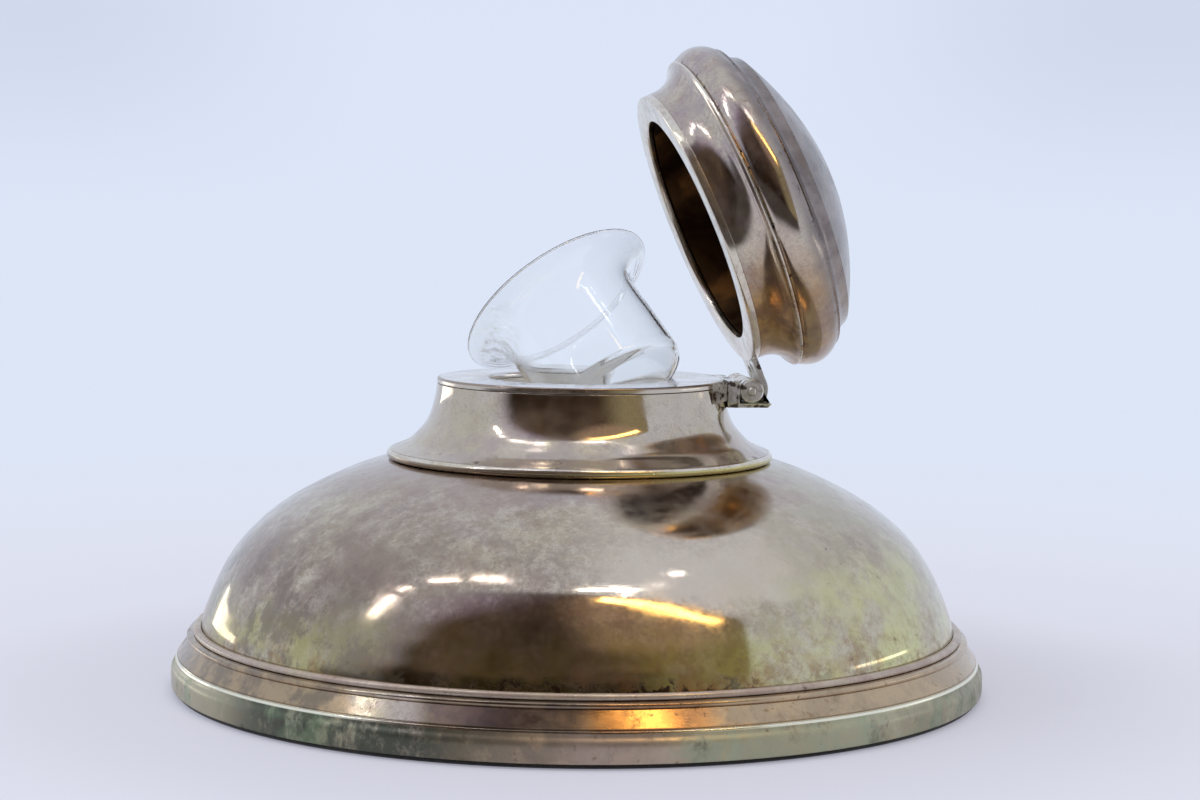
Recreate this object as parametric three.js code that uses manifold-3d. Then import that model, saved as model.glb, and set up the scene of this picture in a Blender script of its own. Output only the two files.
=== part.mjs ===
// Silver desk inkwell: a wide domed foot, a waisted collar, a moulded lid on a
// knuckle hinge, and a loose flanged glass liner tipped in the mouth.
// Millimetres, +Z up. The origin is on the axis of the foot, on the surface it
// stands on. The hinge is on the +X side. The lid is modelled shut, then opened.

import * as THREE from 'three';
import { mergeVertices } from 'three/addons/utils/BufferGeometryUtils.js';
import Module from 'manifold-3d';

const wasm = await Module();
wasm.setup();

const ring_segments = 36;
const liner_segments = 32;
const hinge_segments = 16;

// Foot: baize pad, wooden board and silver foot moulding
const pad_thickness = 0.7;
const pad_setback = 0.6;
const foot_radius = 71.0;
const foot_height = 8.9;
const foot_wall = 6.2;
const arris_height = 5.1;
const arris_setback = 1.2;
const step_depth = 0.35;
const shoulder_setback = 2.9;
const shoulder_groove = 0.7;
const board_thickness = 4.2;
const bead_height = 1.1;
const bead_width = 1.3;
const seat_gap = 0.1;

// Domed body and its filling
const sheet = 0.8;
const dome_setback = 5.2;
const dome_rise = 29.9;
const filling_gap = 0.3;

// Collar and mouth
const collar_flare = 8.7;
const lip_height = 1.6;
const lip_width = 1.8;
const collar_height = 11.4;
const mouth_ledge = 9.0;
const mouth_plate = 1.0;
const hole_clearance = 3.5;
const well_wall = 0.6;
const well_floor_gap = 2.0;

// Glass liner, mouth up before it is tipped
const liner_body_radius = 12.6;
const liner_wall = 1.5;
const liner_floor = 2.0;
const liner_length = 22.0;
const flange_width = 5.65;
const flange_edge = 1.0;
const flare_depth = 3.2;
const liner_corner = 1.8;

// How the liner lies: its lowest flange edge rests on the mouth plate
const tip_setback = 6.2;
const tip_gap = 0.3;
const tip_lean_degrees = 44.3;
const tip_azimuth_degrees = 131.7;

// Lid, measured upwards from its rim
const lid_open_degrees = 67.2;
const lid_gap = 0.25;
const part_gap = 0.3;
const rim_setback = 0.1;
const rim_width = 4.6;
const rim_thickness = 1.1;
const neck_height = 7.6;
const neck_flare = 3.5;
const torus_height = 6.8;
const torus_bulge = 1.3;
const band_height = 2.6;
const band_step = 2.8;
const cap_overhang = 0.3;
const cap_rise = 7.6;
const lining_wall = 0.5;
const lining_depth = 12.5;
const lining_rise = 3.5;

// Hinge
const hinge_reach = 4.1;
const hinge_drop = 1.85;
const knuckle_radius = 2.1;
const knuckle_length = 2.9;
const knuckle_gap = 0.15;
const pin_radius = 0.75;
const pin_clearance = 0.08;
const pin_head = 0.35;
const leaf_thickness = 0.7;
const leaf_height = 3.4;
const leaf_span_degrees = 34;
const leaf_clearance = 0.1;
const shelf_thickness = 0.7;
const shelf_reach = 3.6;
const strap_width = 9.0;
const strap_clearance = 0.3;
const strap_thickness = 1.1;
const strap_heel = 1.3;
const strap_sink = 3.0;
const strap_end_degrees = 35;

// Radii that follow from the foot, the mouth and the liner
const dome_base_radius = foot_radius - dome_setback;
const well_radius = liner_body_radius + hole_clearance;
const mouth_radius = well_radius + mouth_ledge;
const lip_radius = mouth_radius + collar_flare;
const flange_radius = liner_body_radius + flange_width;
const tip_reach = mouth_radius - tip_setback;
const rim_radius = mouth_radius - rim_setback;
const cap_radius = rim_radius + cap_overhang;
const torus_top_radius = cap_radius + band_step;

const weld_distance = 1e-4;
const radians = THREE.MathUtils.degToRad;

const silver = { color: 0xa79a8c, metalness: 1.0, roughness: 0.34 };
const worn_silver = { color: 0xc9c3b8, metalness: 1.0, roughness: 0.3 };
const stained_silver = { color: 0x4a3420, metalness: 0.9, roughness: 0.5 };
const baize = { color: 0x1d1a1a, metalness: 0.0, roughness: 0.95 };
const wood = { color: 0x6b4a30, metalness: 0.0, roughness: 0.8 };
const plaster = { color: 0xcfc8ba, metalness: 0.0, roughness: 0.95 };
const glass = { color: 0xe4edf2, metalness: 0.0, roughness: 0.05, transparent: true, opacity: 0.35 };

function solid(name, geometry, look) {
  const mesh = new THREE.Mesh(geometry, new THREE.MeshStandardMaterial(look));
  mesh.name = name;
  return mesh;
}

function signed_area(points) {
  let sum = 0;
  points.forEach(([r, z], i) => {
    const [next_r, next_z] = points[(i + 1) % points.length];
    sum += r * next_z - next_r * z;
  });
  return sum / 2;
}

// A solid of revolution about Z. Its outline, [radius, height] pairs, either
// closes on itself or starts and ends on the axis.
function turned(outline, segments = ring_segments) {
  const run = signed_area(outline) < 0 ? [...outline].reverse() : [...outline];
  const on_axis = run.some(([r]) => r === 0);
  if (on_axis) {
    while (!(run[0][0] === 0 && run[run.length - 1][0] === 0)) {
      run.push(run.shift());
    }
  } else {
    run.push(run[0]);
  }
  const points = run.map(([r, z]) => new THREE.Vector2(r, z));
  const geometry = new THREE.LatheGeometry(points, segments);
  const place = geometry.attributes.position;
  const seam = segments * points.length;
  for (let i = 0; i < points.length; i += 1) {
    place.setXYZ(seam + i, place.getX(i), place.getY(i), place.getZ(i));
  }
  return geometry.rotateX(Math.PI / 2);
}

// A plate whose side view, [x, z] pairs, is drawn along Y and centred on it.
function prism(outline, width) {
  const shape = new THREE.Shape(outline.map(([x, z]) => new THREE.Vector2(x, z)));
  const options = { depth: width, bevelEnabled: false, steps: 1 };
  const geometry = new THREE.ExtrudeGeometry(shape, options);
  return geometry.rotateX(Math.PI / 2).translate(0, width / 2, 0);
}

function to_manifold(geometry) {
  const bare = geometry.clone();
  bare.deleteAttribute('normal');
  bare.deleteAttribute('uv');
  const merged = mergeVertices(bare, weld_distance);
  const corners = merged.index.array;
  const kept = [];
  for (let i = 0; i < corners.length; i += 3) {
    const [a, b, c] = corners.slice(i, i + 3);
    if (a !== b && b !== c && c !== a) kept.push(a, b, c);
  }
  return new wasm.Manifold(new wasm.Mesh({
    numProp: 3,
    vertProperties: new Float32Array(merged.attributes.position.array),
    triVerts: new Uint32Array(kept),
  }));
}

function from_manifold(body) {
  const mesh = body.getMesh();
  const geometry = new THREE.BufferGeometry();
  geometry.setAttribute('position', new THREE.BufferAttribute(mesh.vertProperties, 3));
  geometry.setIndex(new THREE.BufferAttribute(mesh.triVerts, 1));
  geometry.computeVertexNormals();
  return geometry;
}

// Points of a quarter-round from one [radius, height] to another, left along
// the first point's own direction: first 'up' or 'out'.
function quarter(from, to, first, count) {
  const points = [];
  for (let i = 1; i < count; i += 1) {
    const angle = (i / count) * (Math.PI / 2);
    const early = Math.sin(angle);
    const late = 1 - Math.cos(angle);
    const share_r = first === 'out' ? early : late;
    const share_z = first === 'out' ? late : early;
    points.push([
      from[0] + (to[0] - from[0]) * share_r,
      from[1] + (to[1] - from[1]) * share_z,
    ]);
  }
  return points;
}

// Heights of the base, from the ground up
const foot_z = pad_thickness;
const dome_z = foot_z + foot_height + seat_gap;
const dome_top_z = dome_z + dome_rise;
const lip_z = dome_top_z + seat_gap;
const collar_z = lip_z + lip_height + seat_gap;
const plate_z = collar_z + collar_height + seat_gap;
const mouth_z = plate_z + mouth_plate;

const base = new THREE.Group();

// Baize pad and wooden board that close the foot
const pad_radius = foot_radius - pad_setback;
base.add(solid('base_pad', turned([
  [0, 0],
  [pad_radius, 0],
  [pad_radius, pad_thickness],
  [0, pad_thickness],
]), baize));

const foot_inner_radius = foot_radius - foot_wall;
const board_radius = foot_inner_radius - seat_gap;
const board_top_z = foot_z + seat_gap + board_thickness;
base.add(solid('base_board', turned([
  [0, foot_z + seat_gap],
  [board_radius, foot_z + seat_gap],
  [board_radius, board_top_z],
  [0, board_top_z],
]), wood));

// Foot moulding: an upright band, a fine step, and a sloping shoulder
const arris_radius = foot_radius - arris_setback;
const shoulder_radius = foot_radius - shoulder_setback;
const arris_z = foot_z + arris_height;
const foot_top_z = foot_z + foot_height;
const step_radius = arris_radius - step_depth;
const slope_share = 0.45;
const slope_hollow_share = 0.6;
const band_share = 0.15;
base.add(solid('foot_moulding', turned([
  [foot_inner_radius, foot_z],
  [foot_radius, foot_z],
  [foot_radius, foot_z + arris_height * band_share],
  [arris_radius, arris_z],
  [step_radius, arris_z + step_depth],
  [
    step_radius + (shoulder_radius - step_radius) * slope_share,
    arris_z + step_depth + (foot_top_z - arris_z - step_depth) * slope_hollow_share,
  ],
  [shoulder_radius, foot_top_z - step_depth],
  [shoulder_radius - shoulder_groove, foot_top_z],
  [foot_inner_radius, foot_top_z],
]), silver));

// Bead wire that runs round the root of the dome
const bead_inner = dome_base_radius + seat_gap;
const bead_z = foot_top_z + seat_gap;
const bead_outer = bead_inner + bead_width;
const bead_middle_share = 0.5;
base.add(solid('foot_bead', turned([
  [bead_inner, bead_z],
  [bead_outer, bead_z],
  ...quarter([bead_outer, bead_z], [bead_inner + bead_width * bead_middle_share, bead_z + bead_height], 'up', 3),
  [bead_inner + bead_width * bead_middle_share, bead_z + bead_height],
  [bead_inner, bead_z + bead_height],
]), silver));

// Domed body. Its outline runs from the root up to the flat seat of the collar.
const dome_rise_share = [0, 0.034, 0.17, 0.27, 0.405, 0.54, 0.675, 0.80, 0.905];
const dome_reach_share = [0, 0, 0.036, 0.075, 0.14, 0.232, 0.368, 0.548, 0.795];
const seat_radius = lip_radius + seat_gap + seat_gap;
const dome_span = dome_base_radius - seat_radius;
const dome_outline = dome_rise_share.map((rise_share, i) => [
  dome_base_radius - dome_span * dome_reach_share[i],
  dome_z + dome_rise * rise_share,
]);
dome_outline.push([seat_radius, dome_top_z]);
const well_outer = well_radius + well_wall;
const dome_opening = well_outer + filling_gap;

// The same outline moved inwards, for the inside of a sheet of a given depth
function inset(outline, depth) {
  return outline.map(([r, z], i) => {
    const [r0, z0] = outline[Math.max(i - 1, 0)];
    const [r1, z1] = outline[Math.min(i + 1, outline.length - 1)];
    const length = Math.hypot(r1 - r0, z1 - z0);
    return [r - (depth * (z1 - z0)) / length, z + (depth * (r1 - r0)) / length];
  });
}

const dome_inside = inset(dome_outline, sheet);
dome_inside[0] = [dome_base_radius - sheet, dome_z];
dome_inside[dome_inside.length - 1] = [seat_radius, dome_top_z - sheet];
base.add(solid('dome_shell', turned([
  ...dome_outline,
  [dome_opening, dome_top_z],
  [dome_opening, dome_top_z - sheet],
  ...dome_inside.reverse(),
]), silver));

// Collar lip: a half-round wire on the dome
const lip_inner = lip_radius - lip_width;
const lip_middle_z = lip_z + lip_height / 2;
const lip_shoulder_share = 0.3;
const lip_shoulder = lip_radius - lip_width * lip_shoulder_share;
base.add(solid('collar_lip', turned([
  [lip_inner, lip_z],
  [lip_shoulder, lip_z],
  ...quarter([lip_shoulder, lip_z], [lip_radius, lip_middle_z], 'out', 2),
  [lip_radius, lip_middle_z],
  ...quarter([lip_radius, lip_middle_z], [lip_shoulder, lip_z + lip_height], 'up', 2),
  [lip_shoulder, lip_z + lip_height],
  [lip_inner, lip_z + lip_height],
]), silver));

// Waisted collar: flared at its foot, almost upright at the mouth
const collar_rise_share = [0, 0.055, 0.13, 0.235, 0.375, 0.55, 0.78, 1];
const collar_reach_share = [0, 0.2, 0.41, 0.565, 0.735, 0.86, 0.95, 1];
const collar_foot_radius = lip_radius - lip_width * lip_shoulder_share;
const collar_span = collar_foot_radius - mouth_radius;
const collar_outline = collar_rise_share.map((rise_share, i) => [
  collar_foot_radius - collar_span * collar_reach_share[i],
  collar_z + collar_height * rise_share,
]);
const collar_inside = inset(collar_outline, sheet);
collar_inside[0] = [lip_inner, collar_z];
collar_inside[1] = [lip_inner, collar_inside[1][1]];
collar_inside.splice(2, 1);
collar_inside[collar_inside.length - 1] = [mouth_radius - sheet, collar_z + collar_height];
base.add(solid('collar', turned([
  ...collar_outline,
  ...collar_inside.reverse(),
]), silver));

// Flat mouth plate with the hole for the liner
const hole_radius = well_radius;
base.add(solid('mouth_plate', turned([
  [hole_radius, plate_z],
  [mouth_radius, plate_z],
  [mouth_radius, mouth_z],
  [hole_radius, mouth_z],
]), worn_silver));

// Well: a plain cup below the hole
const well_top_z = plate_z - seat_gap;
const well_floor_z = mouth_z - liner_length - well_floor_gap;
base.add(solid('well_cup', turned([
  [0, well_floor_z - well_wall],
  [well_outer, well_floor_z - well_wall],
  [well_outer, well_top_z],
  [well_radius, well_top_z],
  [well_radius, well_floor_z],
  [0, well_floor_z],
]), stained_silver));

// Plaster filling that weights the foot, with a socket for the well
const filling_outline = inset(dome_outline, sheet + filling_gap);
const filling_foot = filling_outline.filter(([r, z]) => z > dome_z + filling_gap && z < dome_top_z);
const filling_side = foot_inner_radius - filling_gap;
const filling_top_z = dome_top_z - sheet - filling_gap;
const filling_steps = filling_foot.filter((point, i) => i % 2 === 0 && point[1] < filling_top_z);
const socket_radius = well_outer + filling_gap;
const socket_z = well_floor_z - well_wall - filling_gap;
const filling_shoulder = seat_radius - filling_gap;
base.add(solid('base_filling', turned([
  [0, board_top_z + seat_gap],
  [filling_side, board_top_z + seat_gap],
  [filling_side, dome_z],
  ...filling_steps,
  [filling_shoulder, filling_top_z],
  [socket_radius, filling_top_z],
  [socket_radius, socket_z],
  [0, socket_z],
]), plaster));

// Hinge on the collar
const hinge_x = mouth_radius + hinge_reach;
const hinge_z = mouth_z - hinge_drop;
const knuckle_pitch = knuckle_length + knuckle_gap;

function knuckle(name, slot) {
  const bore = pin_radius + pin_clearance;
  const tube = turned([
    [bore, -knuckle_length / 2],
    [knuckle_radius, -knuckle_length / 2],
    [knuckle_radius, knuckle_length / 2],
    [bore, knuckle_length / 2],
  ], hinge_segments);
  tube.rotateX(Math.PI / 2).translate(hinge_x, slot * knuckle_pitch, hinge_z);
  return solid(name, tube, worn_silver);
}

base.add(knuckle('hinge_knuckle_1', -2));
base.add(knuckle('hinge_knuckle_3', 0));
base.add(knuckle('hinge_knuckle_5', 2));

const pin_length = 5 * knuckle_length + 4 * knuckle_gap + 2 * pin_head;
const pin = turned([
  [0, -pin_length / 2],
  [pin_radius, -pin_length / 2],
  [pin_radius, pin_length / 2],
  [0, pin_length / 2],
], hinge_segments);
pin.rotateX(Math.PI / 2).translate(hinge_x, 0, hinge_z);
base.add(solid('hinge_pin', pin, stained_silver));

// Collar leaf: a curved plate on the collar wall with a shelf below the knuckles
const leaf_top_z = mouth_z - leaf_clearance;
const leaf_bottom_z = leaf_top_z - leaf_height;
const leaf_steps = 8;
const wall_at_leaf = mouth_radius + leaf_thickness + leaf_clearance;
const leaf_shape = new THREE.Shape();
leaf_shape.moveTo(0, 0);
for (let i = 0; i <= leaf_steps; i += 1) {
  const angle = radians(leaf_span_degrees) * ((2 * i) / leaf_steps - 1);
  leaf_shape.lineTo(wall_at_leaf * Math.cos(angle), wall_at_leaf * Math.sin(angle));
}
const leaf_plate = new THREE.ExtrudeGeometry(leaf_shape, { depth: leaf_height, bevelEnabled: false });
leaf_plate.translate(0, 0, leaf_bottom_z);
const shelf_top_z = hinge_z - knuckle_radius - leaf_clearance;
const barrel_length = 5 * knuckle_length + 4 * knuckle_gap;
const shelf_x = hinge_x + shelf_reach;
const web_x = hinge_x - knuckle_radius - leaf_clearance;
const shelf = prism([
  [0, shelf_top_z - shelf_thickness],
  [shelf_x - shelf_thickness, shelf_top_z - shelf_thickness],
  [shelf_x, shelf_top_z],
  [web_x, shelf_top_z],
  [web_x, leaf_top_z],
  [0, leaf_top_z],
], barrel_length);
const collar_cutter = turned([
  [0, collar_z],
  ...collar_outline.map(([r, z]) => [r + leaf_clearance, z]),
  [mouth_radius + leaf_clearance, mouth_z + leaf_clearance],
  [0, mouth_z + leaf_clearance],
]);
const leaf = to_manifold(leaf_plate).add(to_manifold(shelf)).subtract(to_manifold(collar_cutter));
base.add(solid('hinge_collar_leaf', from_manifold(leaf), worn_silver));

// Lid, drawn shut. Heights are worked up from the rim.
const lid = new THREE.Group();
const rim_z = mouth_z + lid_gap;
const rim_inner = rim_radius - rim_width;
const neck_z = rim_z + rim_thickness + part_gap;
lid.add(solid('lid_rim', turned([
  [rim_inner, rim_z],
  [rim_radius, rim_z],
  [rim_radius, rim_z + rim_thickness],
  [rim_inner, rim_z + rim_thickness],
]), worn_silver));

const neck_rise_share = [0, 0.3, 0.55, 0.78, 0.93, 1];
const neck_reach_share = [0, 0.03, 0.16, 0.42, 0.72, 1];
const neck_rise = neck_height - rim_thickness - part_gap;
const neck_outline = neck_rise_share.map((rise_share, i) => [
  rim_radius + neck_flare * neck_reach_share[i],
  neck_z + neck_rise * rise_share,
]);
const neck_inside = inset(neck_outline, sheet);
neck_inside[0] = [rim_radius - sheet, neck_z];
neck_inside.splice(neck_inside.length - 1, 1);
const neck_top_z = neck_z + neck_rise;
const neck_ledge = rim_radius;
neck_inside.splice(neck_inside.length - 1, 1);
lid.add(solid('lid_neck', turned([
  ...neck_outline,
  [neck_ledge, neck_top_z],
  ...neck_inside.reverse(),
]), silver));

// Round moulding between the neck and the crown
const torus_z = neck_top_z + part_gap;
const torus_foot_radius = rim_radius + neck_flare;
const torus_radius = torus_foot_radius + torus_bulge;
const torus_middle_share = 0.48;
const torus_middle_z = torus_z + torus_height * torus_middle_share;
const torus_top_z = torus_z + torus_height;
const torus_inner = rim_radius;
lid.add(solid('lid_torus', turned([
  [torus_inner, torus_z],
  [torus_foot_radius, torus_z],
  ...quarter([torus_foot_radius, torus_z], [torus_radius, torus_middle_z], 'out', 3),
  [torus_radius, torus_middle_z],
  ...quarter([torus_radius, torus_middle_z], [torus_top_radius, torus_top_z], 'up', 3),
  [torus_top_radius, torus_top_z],
  [torus_inner, torus_top_z],
]), silver));

// Hollow band that steps in to the crown
const band_z = torus_top_z + part_gap;
const band_top_z = band_z + band_height;
const band_inner = cap_radius - sheet - sheet;
const band_rise_share = 0.35;
const band_reach_share = 0.6;
lid.add(solid('lid_band', turned([
  [band_inner, band_z],
  [torus_top_radius, band_z],
  [
    torus_top_radius - (torus_top_radius - cap_radius) * band_reach_share,
    band_z + band_height * band_rise_share,
  ],
  [cap_radius, band_top_z],
  [band_inner, band_top_z],
]), silver));

// Crown: a shallow dome
const cap_z = band_top_z + part_gap;
const cap_top_share = [1, 0.93, 0.8, 0.62, 0.4, 0.2];
const cap_outline = cap_top_share.map((reach_share) => [
  cap_radius * reach_share,
  cap_z + cap_rise * (1 - reach_share ** 2),
]);
const cap_inside = inset(cap_outline, sheet);
cap_inside[0] = [cap_radius - sheet - sheet, cap_z];
lid.add(solid('lid_cap', turned([
  ...cap_outline,
  [0, cap_z + cap_rise],
  [0, cap_z + cap_rise - sheet],
  ...cap_inside.reverse(),
]), silver));

// Lining: a domed pan that closes the inside of the lid
const lining_radius = rim_inner + lining_wall;
const lining_z = rim_z + rim_thickness + part_gap;
const lining_edge_z = rim_z + lining_depth;
const lining_top_share = [1, 0.92, 0.7, 0.4];
const lining_outer = lining_top_share.map((reach_share) => [
  lining_radius * reach_share,
  lining_edge_z + lining_rise * (1 - reach_share ** 2),
]);
const lining_inner = inset(lining_outer, lining_wall);
lining_inner[0] = [rim_inner, lining_edge_z - lining_wall];
lid.add(solid('lid_lining', turned([
  [lining_radius, lining_z],
  ...lining_outer,
  [0, lining_edge_z + lining_rise],
  [0, lining_edge_z + lining_rise - lining_wall],
  ...lining_inner.reverse(),
  [rim_inner, lining_z],
]), stained_silver));

// Lid strap: it leaves the neck above the knuckles and hoods their far side
lid.add(knuckle('hinge_knuckle_2', -1));
lid.add(knuckle('hinge_knuckle_4', 1));
const strap_inner = knuckle_radius + strap_clearance;
const strap_outer = strap_inner + strap_thickness;
const strap_arc_shares = [1, 0.67, 0.33, 0];
const strap_end_angle = radians(strap_end_degrees);
const strap_top_z = hinge_z + strap_outer;
const arc_point = (radius, share) => {
  const angle = strap_end_angle + (Math.PI / 2 - strap_end_angle) * share;
  return [hinge_x + radius * Math.cos(angle), hinge_z + radius * Math.sin(angle)];
};
const heel = arc_point(strap_outer + strap_heel, 0);
const strap_plate = prism([
  [rim_radius - strap_sink, hinge_z + strap_inner],
  ...strap_arc_shares.map((share) => arc_point(strap_inner, share)),
  heel,
  ...strap_arc_shares.map((share) => arc_point(strap_outer, share)).reverse(),
  [rim_radius - strap_sink, strap_top_z],
], strap_width);
const neck_cutter = turned([
  [0, rim_z - part_gap],
  [rim_radius + leaf_clearance, rim_z - part_gap],
  ...neck_outline.map(([r, z]) => [r + leaf_clearance, z]),
  [0, neck_top_z],
]);
const strap = to_manifold(strap_plate).subtract(to_manifold(neck_cutter));
lid.add(solid('hinge_lid_strap', from_manifold(strap), worn_silver));

lid.children.forEach((piece) => piece.geometry.translate(-hinge_x, 0, -hinge_z));
lid.position.set(hinge_x, 0, hinge_z);
lid.rotation.y = radians(lid_open_degrees);

// Glass liner, drawn about its own axis with the mouth plane at zero
const inner_radius = liner_body_radius - liner_wall;
const flare_z = -flare_depth - flange_edge;
const bottom_z = -liner_length;
const floor_z = bottom_z + liner_floor;
const edge_radius = flange_radius - flange_edge / 2;
const lip_roll = flange_edge / 2;
const corner_radius = liner_body_radius - liner_corner;
const inner_corner = inner_radius - liner_corner;
const liner_outline = [
  [0, bottom_z],
  [corner_radius, bottom_z],
  ...quarter([corner_radius, bottom_z], [liner_body_radius, bottom_z + liner_corner], 'out', 3),
  [liner_body_radius, bottom_z + liner_corner],
  [liner_body_radius, flare_z],
  ...quarter([liner_body_radius, flare_z], [edge_radius, -flange_edge], 'up', 4),
  [edge_radius, -flange_edge],
  [flange_radius, -lip_roll],
  [edge_radius, 0],
  ...quarter([inner_radius, flare_z], [edge_radius, 0], 'up', 4).reverse(),
  [inner_radius, flare_z],
  [inner_radius, floor_z + liner_corner],
  ...quarter([inner_corner, floor_z], [inner_radius, floor_z + liner_corner], 'out', 3).reverse(),
  [inner_corner, floor_z],
  [0, floor_z],
];
const liner = solid('glass_liner', turned(liner_outline, liner_segments), glass);
const lean_angle = radians(tip_lean_degrees);
const liner_tilt = new THREE.Group();
liner_tilt.add(liner);
liner_tilt.rotation.y = lean_angle;
const lowest_drop = flange_radius * Math.sin(lean_angle) + flange_edge * Math.cos(lean_angle);
liner_tilt.position.set(
  tip_reach - flange_radius * Math.cos(lean_angle),
  0,
  mouth_z + tip_gap + lowest_drop,
);
const liner_turn = new THREE.Group();
liner_turn.add(liner_tilt);
liner_turn.rotation.z = radians(tip_azimuth_degrees);

const inkwell = new THREE.Group();
inkwell.add(base, lid, liner_turn);

export default inkwell;
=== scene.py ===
"""A tarnished silver desk inkwell with its lid open and its glass liner tipped in the mouth.

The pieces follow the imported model's frame, in metres. Turned pieces are drawn as an
outline of radius and height and spun. The lid is drawn shut and then swung open, and
the liner is drawn upright and then tipped.
"""

import math

import bmesh
import bpy
from bpy.props import FloatProperty, FloatVectorProperty, IntProperty, PointerProperty
from mathutils import Matrix, Vector


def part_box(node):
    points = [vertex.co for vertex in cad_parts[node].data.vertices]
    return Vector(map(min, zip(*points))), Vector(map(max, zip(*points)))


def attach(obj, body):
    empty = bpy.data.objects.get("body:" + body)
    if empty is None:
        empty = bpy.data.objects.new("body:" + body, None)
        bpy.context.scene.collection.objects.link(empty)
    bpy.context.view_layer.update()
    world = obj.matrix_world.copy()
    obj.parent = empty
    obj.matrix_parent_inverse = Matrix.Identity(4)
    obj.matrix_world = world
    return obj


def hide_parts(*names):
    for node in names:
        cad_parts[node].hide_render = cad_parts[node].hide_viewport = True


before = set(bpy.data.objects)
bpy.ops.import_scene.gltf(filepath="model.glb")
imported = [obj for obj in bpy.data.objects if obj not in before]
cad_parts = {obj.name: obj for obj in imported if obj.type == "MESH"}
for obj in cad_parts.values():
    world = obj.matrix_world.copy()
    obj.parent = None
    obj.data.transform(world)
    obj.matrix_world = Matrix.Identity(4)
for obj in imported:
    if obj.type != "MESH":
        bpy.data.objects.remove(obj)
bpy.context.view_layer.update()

bl_info = {
    "name": "Desk inkwell",
    "version": (1, 0, 0),
    "blender": (4, 5, 0),
    "location": "3D View > Sidebar > Inkwell",
    "description": "Builds a tarnished silver inkwell with a hinged lid and a glass liner",
    "category": "Object",
}

PLACE = "own_place"
TENTH = 0.0001  # a tenth of a millimetre, the unit of small steps in an outline
CAMERA_TURN = math.radians(8.0)  # how far the camera stands round from the front
AIM = Vector((0, 0, 0.03))  # the middle of the object, which every lamp faces

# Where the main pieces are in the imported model
PAD_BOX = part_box("base_pad")
FOOT_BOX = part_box("foot_moulding")
BEAD_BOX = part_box("foot_bead")
DOME_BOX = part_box("dome_shell")
LIP_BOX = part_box("collar_lip")
COLLAR_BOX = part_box("collar")
PLATE_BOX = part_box("mouth_plate")
WELL_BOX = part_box("well_cup")
PIN_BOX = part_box("hinge_pin")

HINGE_X = (PIN_BOX[0].x + PIN_BOX[1].x) / 2
HINGE_Z = (PIN_BOX[0].z + PIN_BOX[1].z) / 2
MOUTH_Z = PLATE_BOX[1].z
MOUTH_RADIUS = PLATE_BOX[1].x


def length(name, default, description):
    return FloatProperty(
        name=name, default=default, description=description,
        subtype="DISTANCE", unit="LENGTH", precision=5,
    )


def turn(name, default, description):
    return FloatProperty(
        name=name, default=math.radians(default), description=description,
        subtype="ANGLE", unit="ROTATION",
    )


def tone(name, default, description):
    return FloatVectorProperty(
        name=name, default=(*default, 1.0), description=description,
        subtype="COLOR", size=4, min=0.0, max=1.0,
    )


class InkwellBaseSizes(bpy.types.PropertyGroup):
    ring_steps: IntProperty(
        name="Ring steps", default=180, min=24, max=360,
        description="Steps round each turned piece",
    )
    foot_wall: length("Foot wall", 0.0062, "Depth of the foot moulding, inwards")
    band_height: length("Band height", 0.0051, "Height of the upright band of the foot")
    arris_setback: length("Arris setback", 0.0008, "How far the top of the band steps in")
    shoulder_setback: length("Shoulder setback", 0.0031, "How far the shoulder's top steps in")
    fillet: length("Fillet", 0.00052, "Radius of the small round fillet above the shoulder")
    step_depth: length("Step depth", 0.0002, "Depth of the fine step above the band")
    sheet: length("Sheet", 0.0008, "Thickness of the silver sheet")
    lip_width: length("Lip width", 0.0018, "Width of the wire below the collar")
    plate_hole: length("Plate hole", 0.0161, "Radius of the hole for the liner")
    well_wall: length("Well wall", 0.0006, "Thickness of the well cup")


class InkwellLidSizes(bpy.types.PropertyGroup):
    swing: turn("Swing", 67.2, "How far the lid stands open")
    gap: length("Gap", 0.00025, "Gap between the mouth and the shut lid")
    part_gap: length("Part gap", 0.0003, "Fine gap between the parts of the lid")
    rim_radius: length("Rim radius", MOUTH_RADIUS - TENTH, "Radius of the lid's rim")
    rim_width: length("Rim width", 0.0046, "Width of the flat rim")
    rim_thickness: length("Rim thickness", 0.0011, "Thickness of the flat rim")
    neck_height: length("Neck height", 0.0076, "Height of the rim and neck together")
    neck_flare: length("Neck flare", 0.0035, "How far the neck flares out")
    torus_height: length("Torus height", 0.0068, "Height of the round moulding")
    torus_bulge: length("Torus bulge", 0.0013, "How far the round moulding stands out")
    band_height: length("Band height", 0.0026, "Height of the hollow band")
    band_step: length("Band step", 0.0028, "How far the hollow band steps in")
    cap_overhang: length("Cap overhang", 0.0003, "How far the crown overhangs the rim")
    cap_rise: length("Cap rise", 0.0076, "Rise of the crown")
    lining_wall: length("Lining wall", 0.0005, "Thickness of the lining")
    lining_depth: length("Lining depth", 0.0125, "Depth of the lining's edge")
    lining_rise: length("Lining rise", 0.0035, "Rise of the lining's middle")


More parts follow.
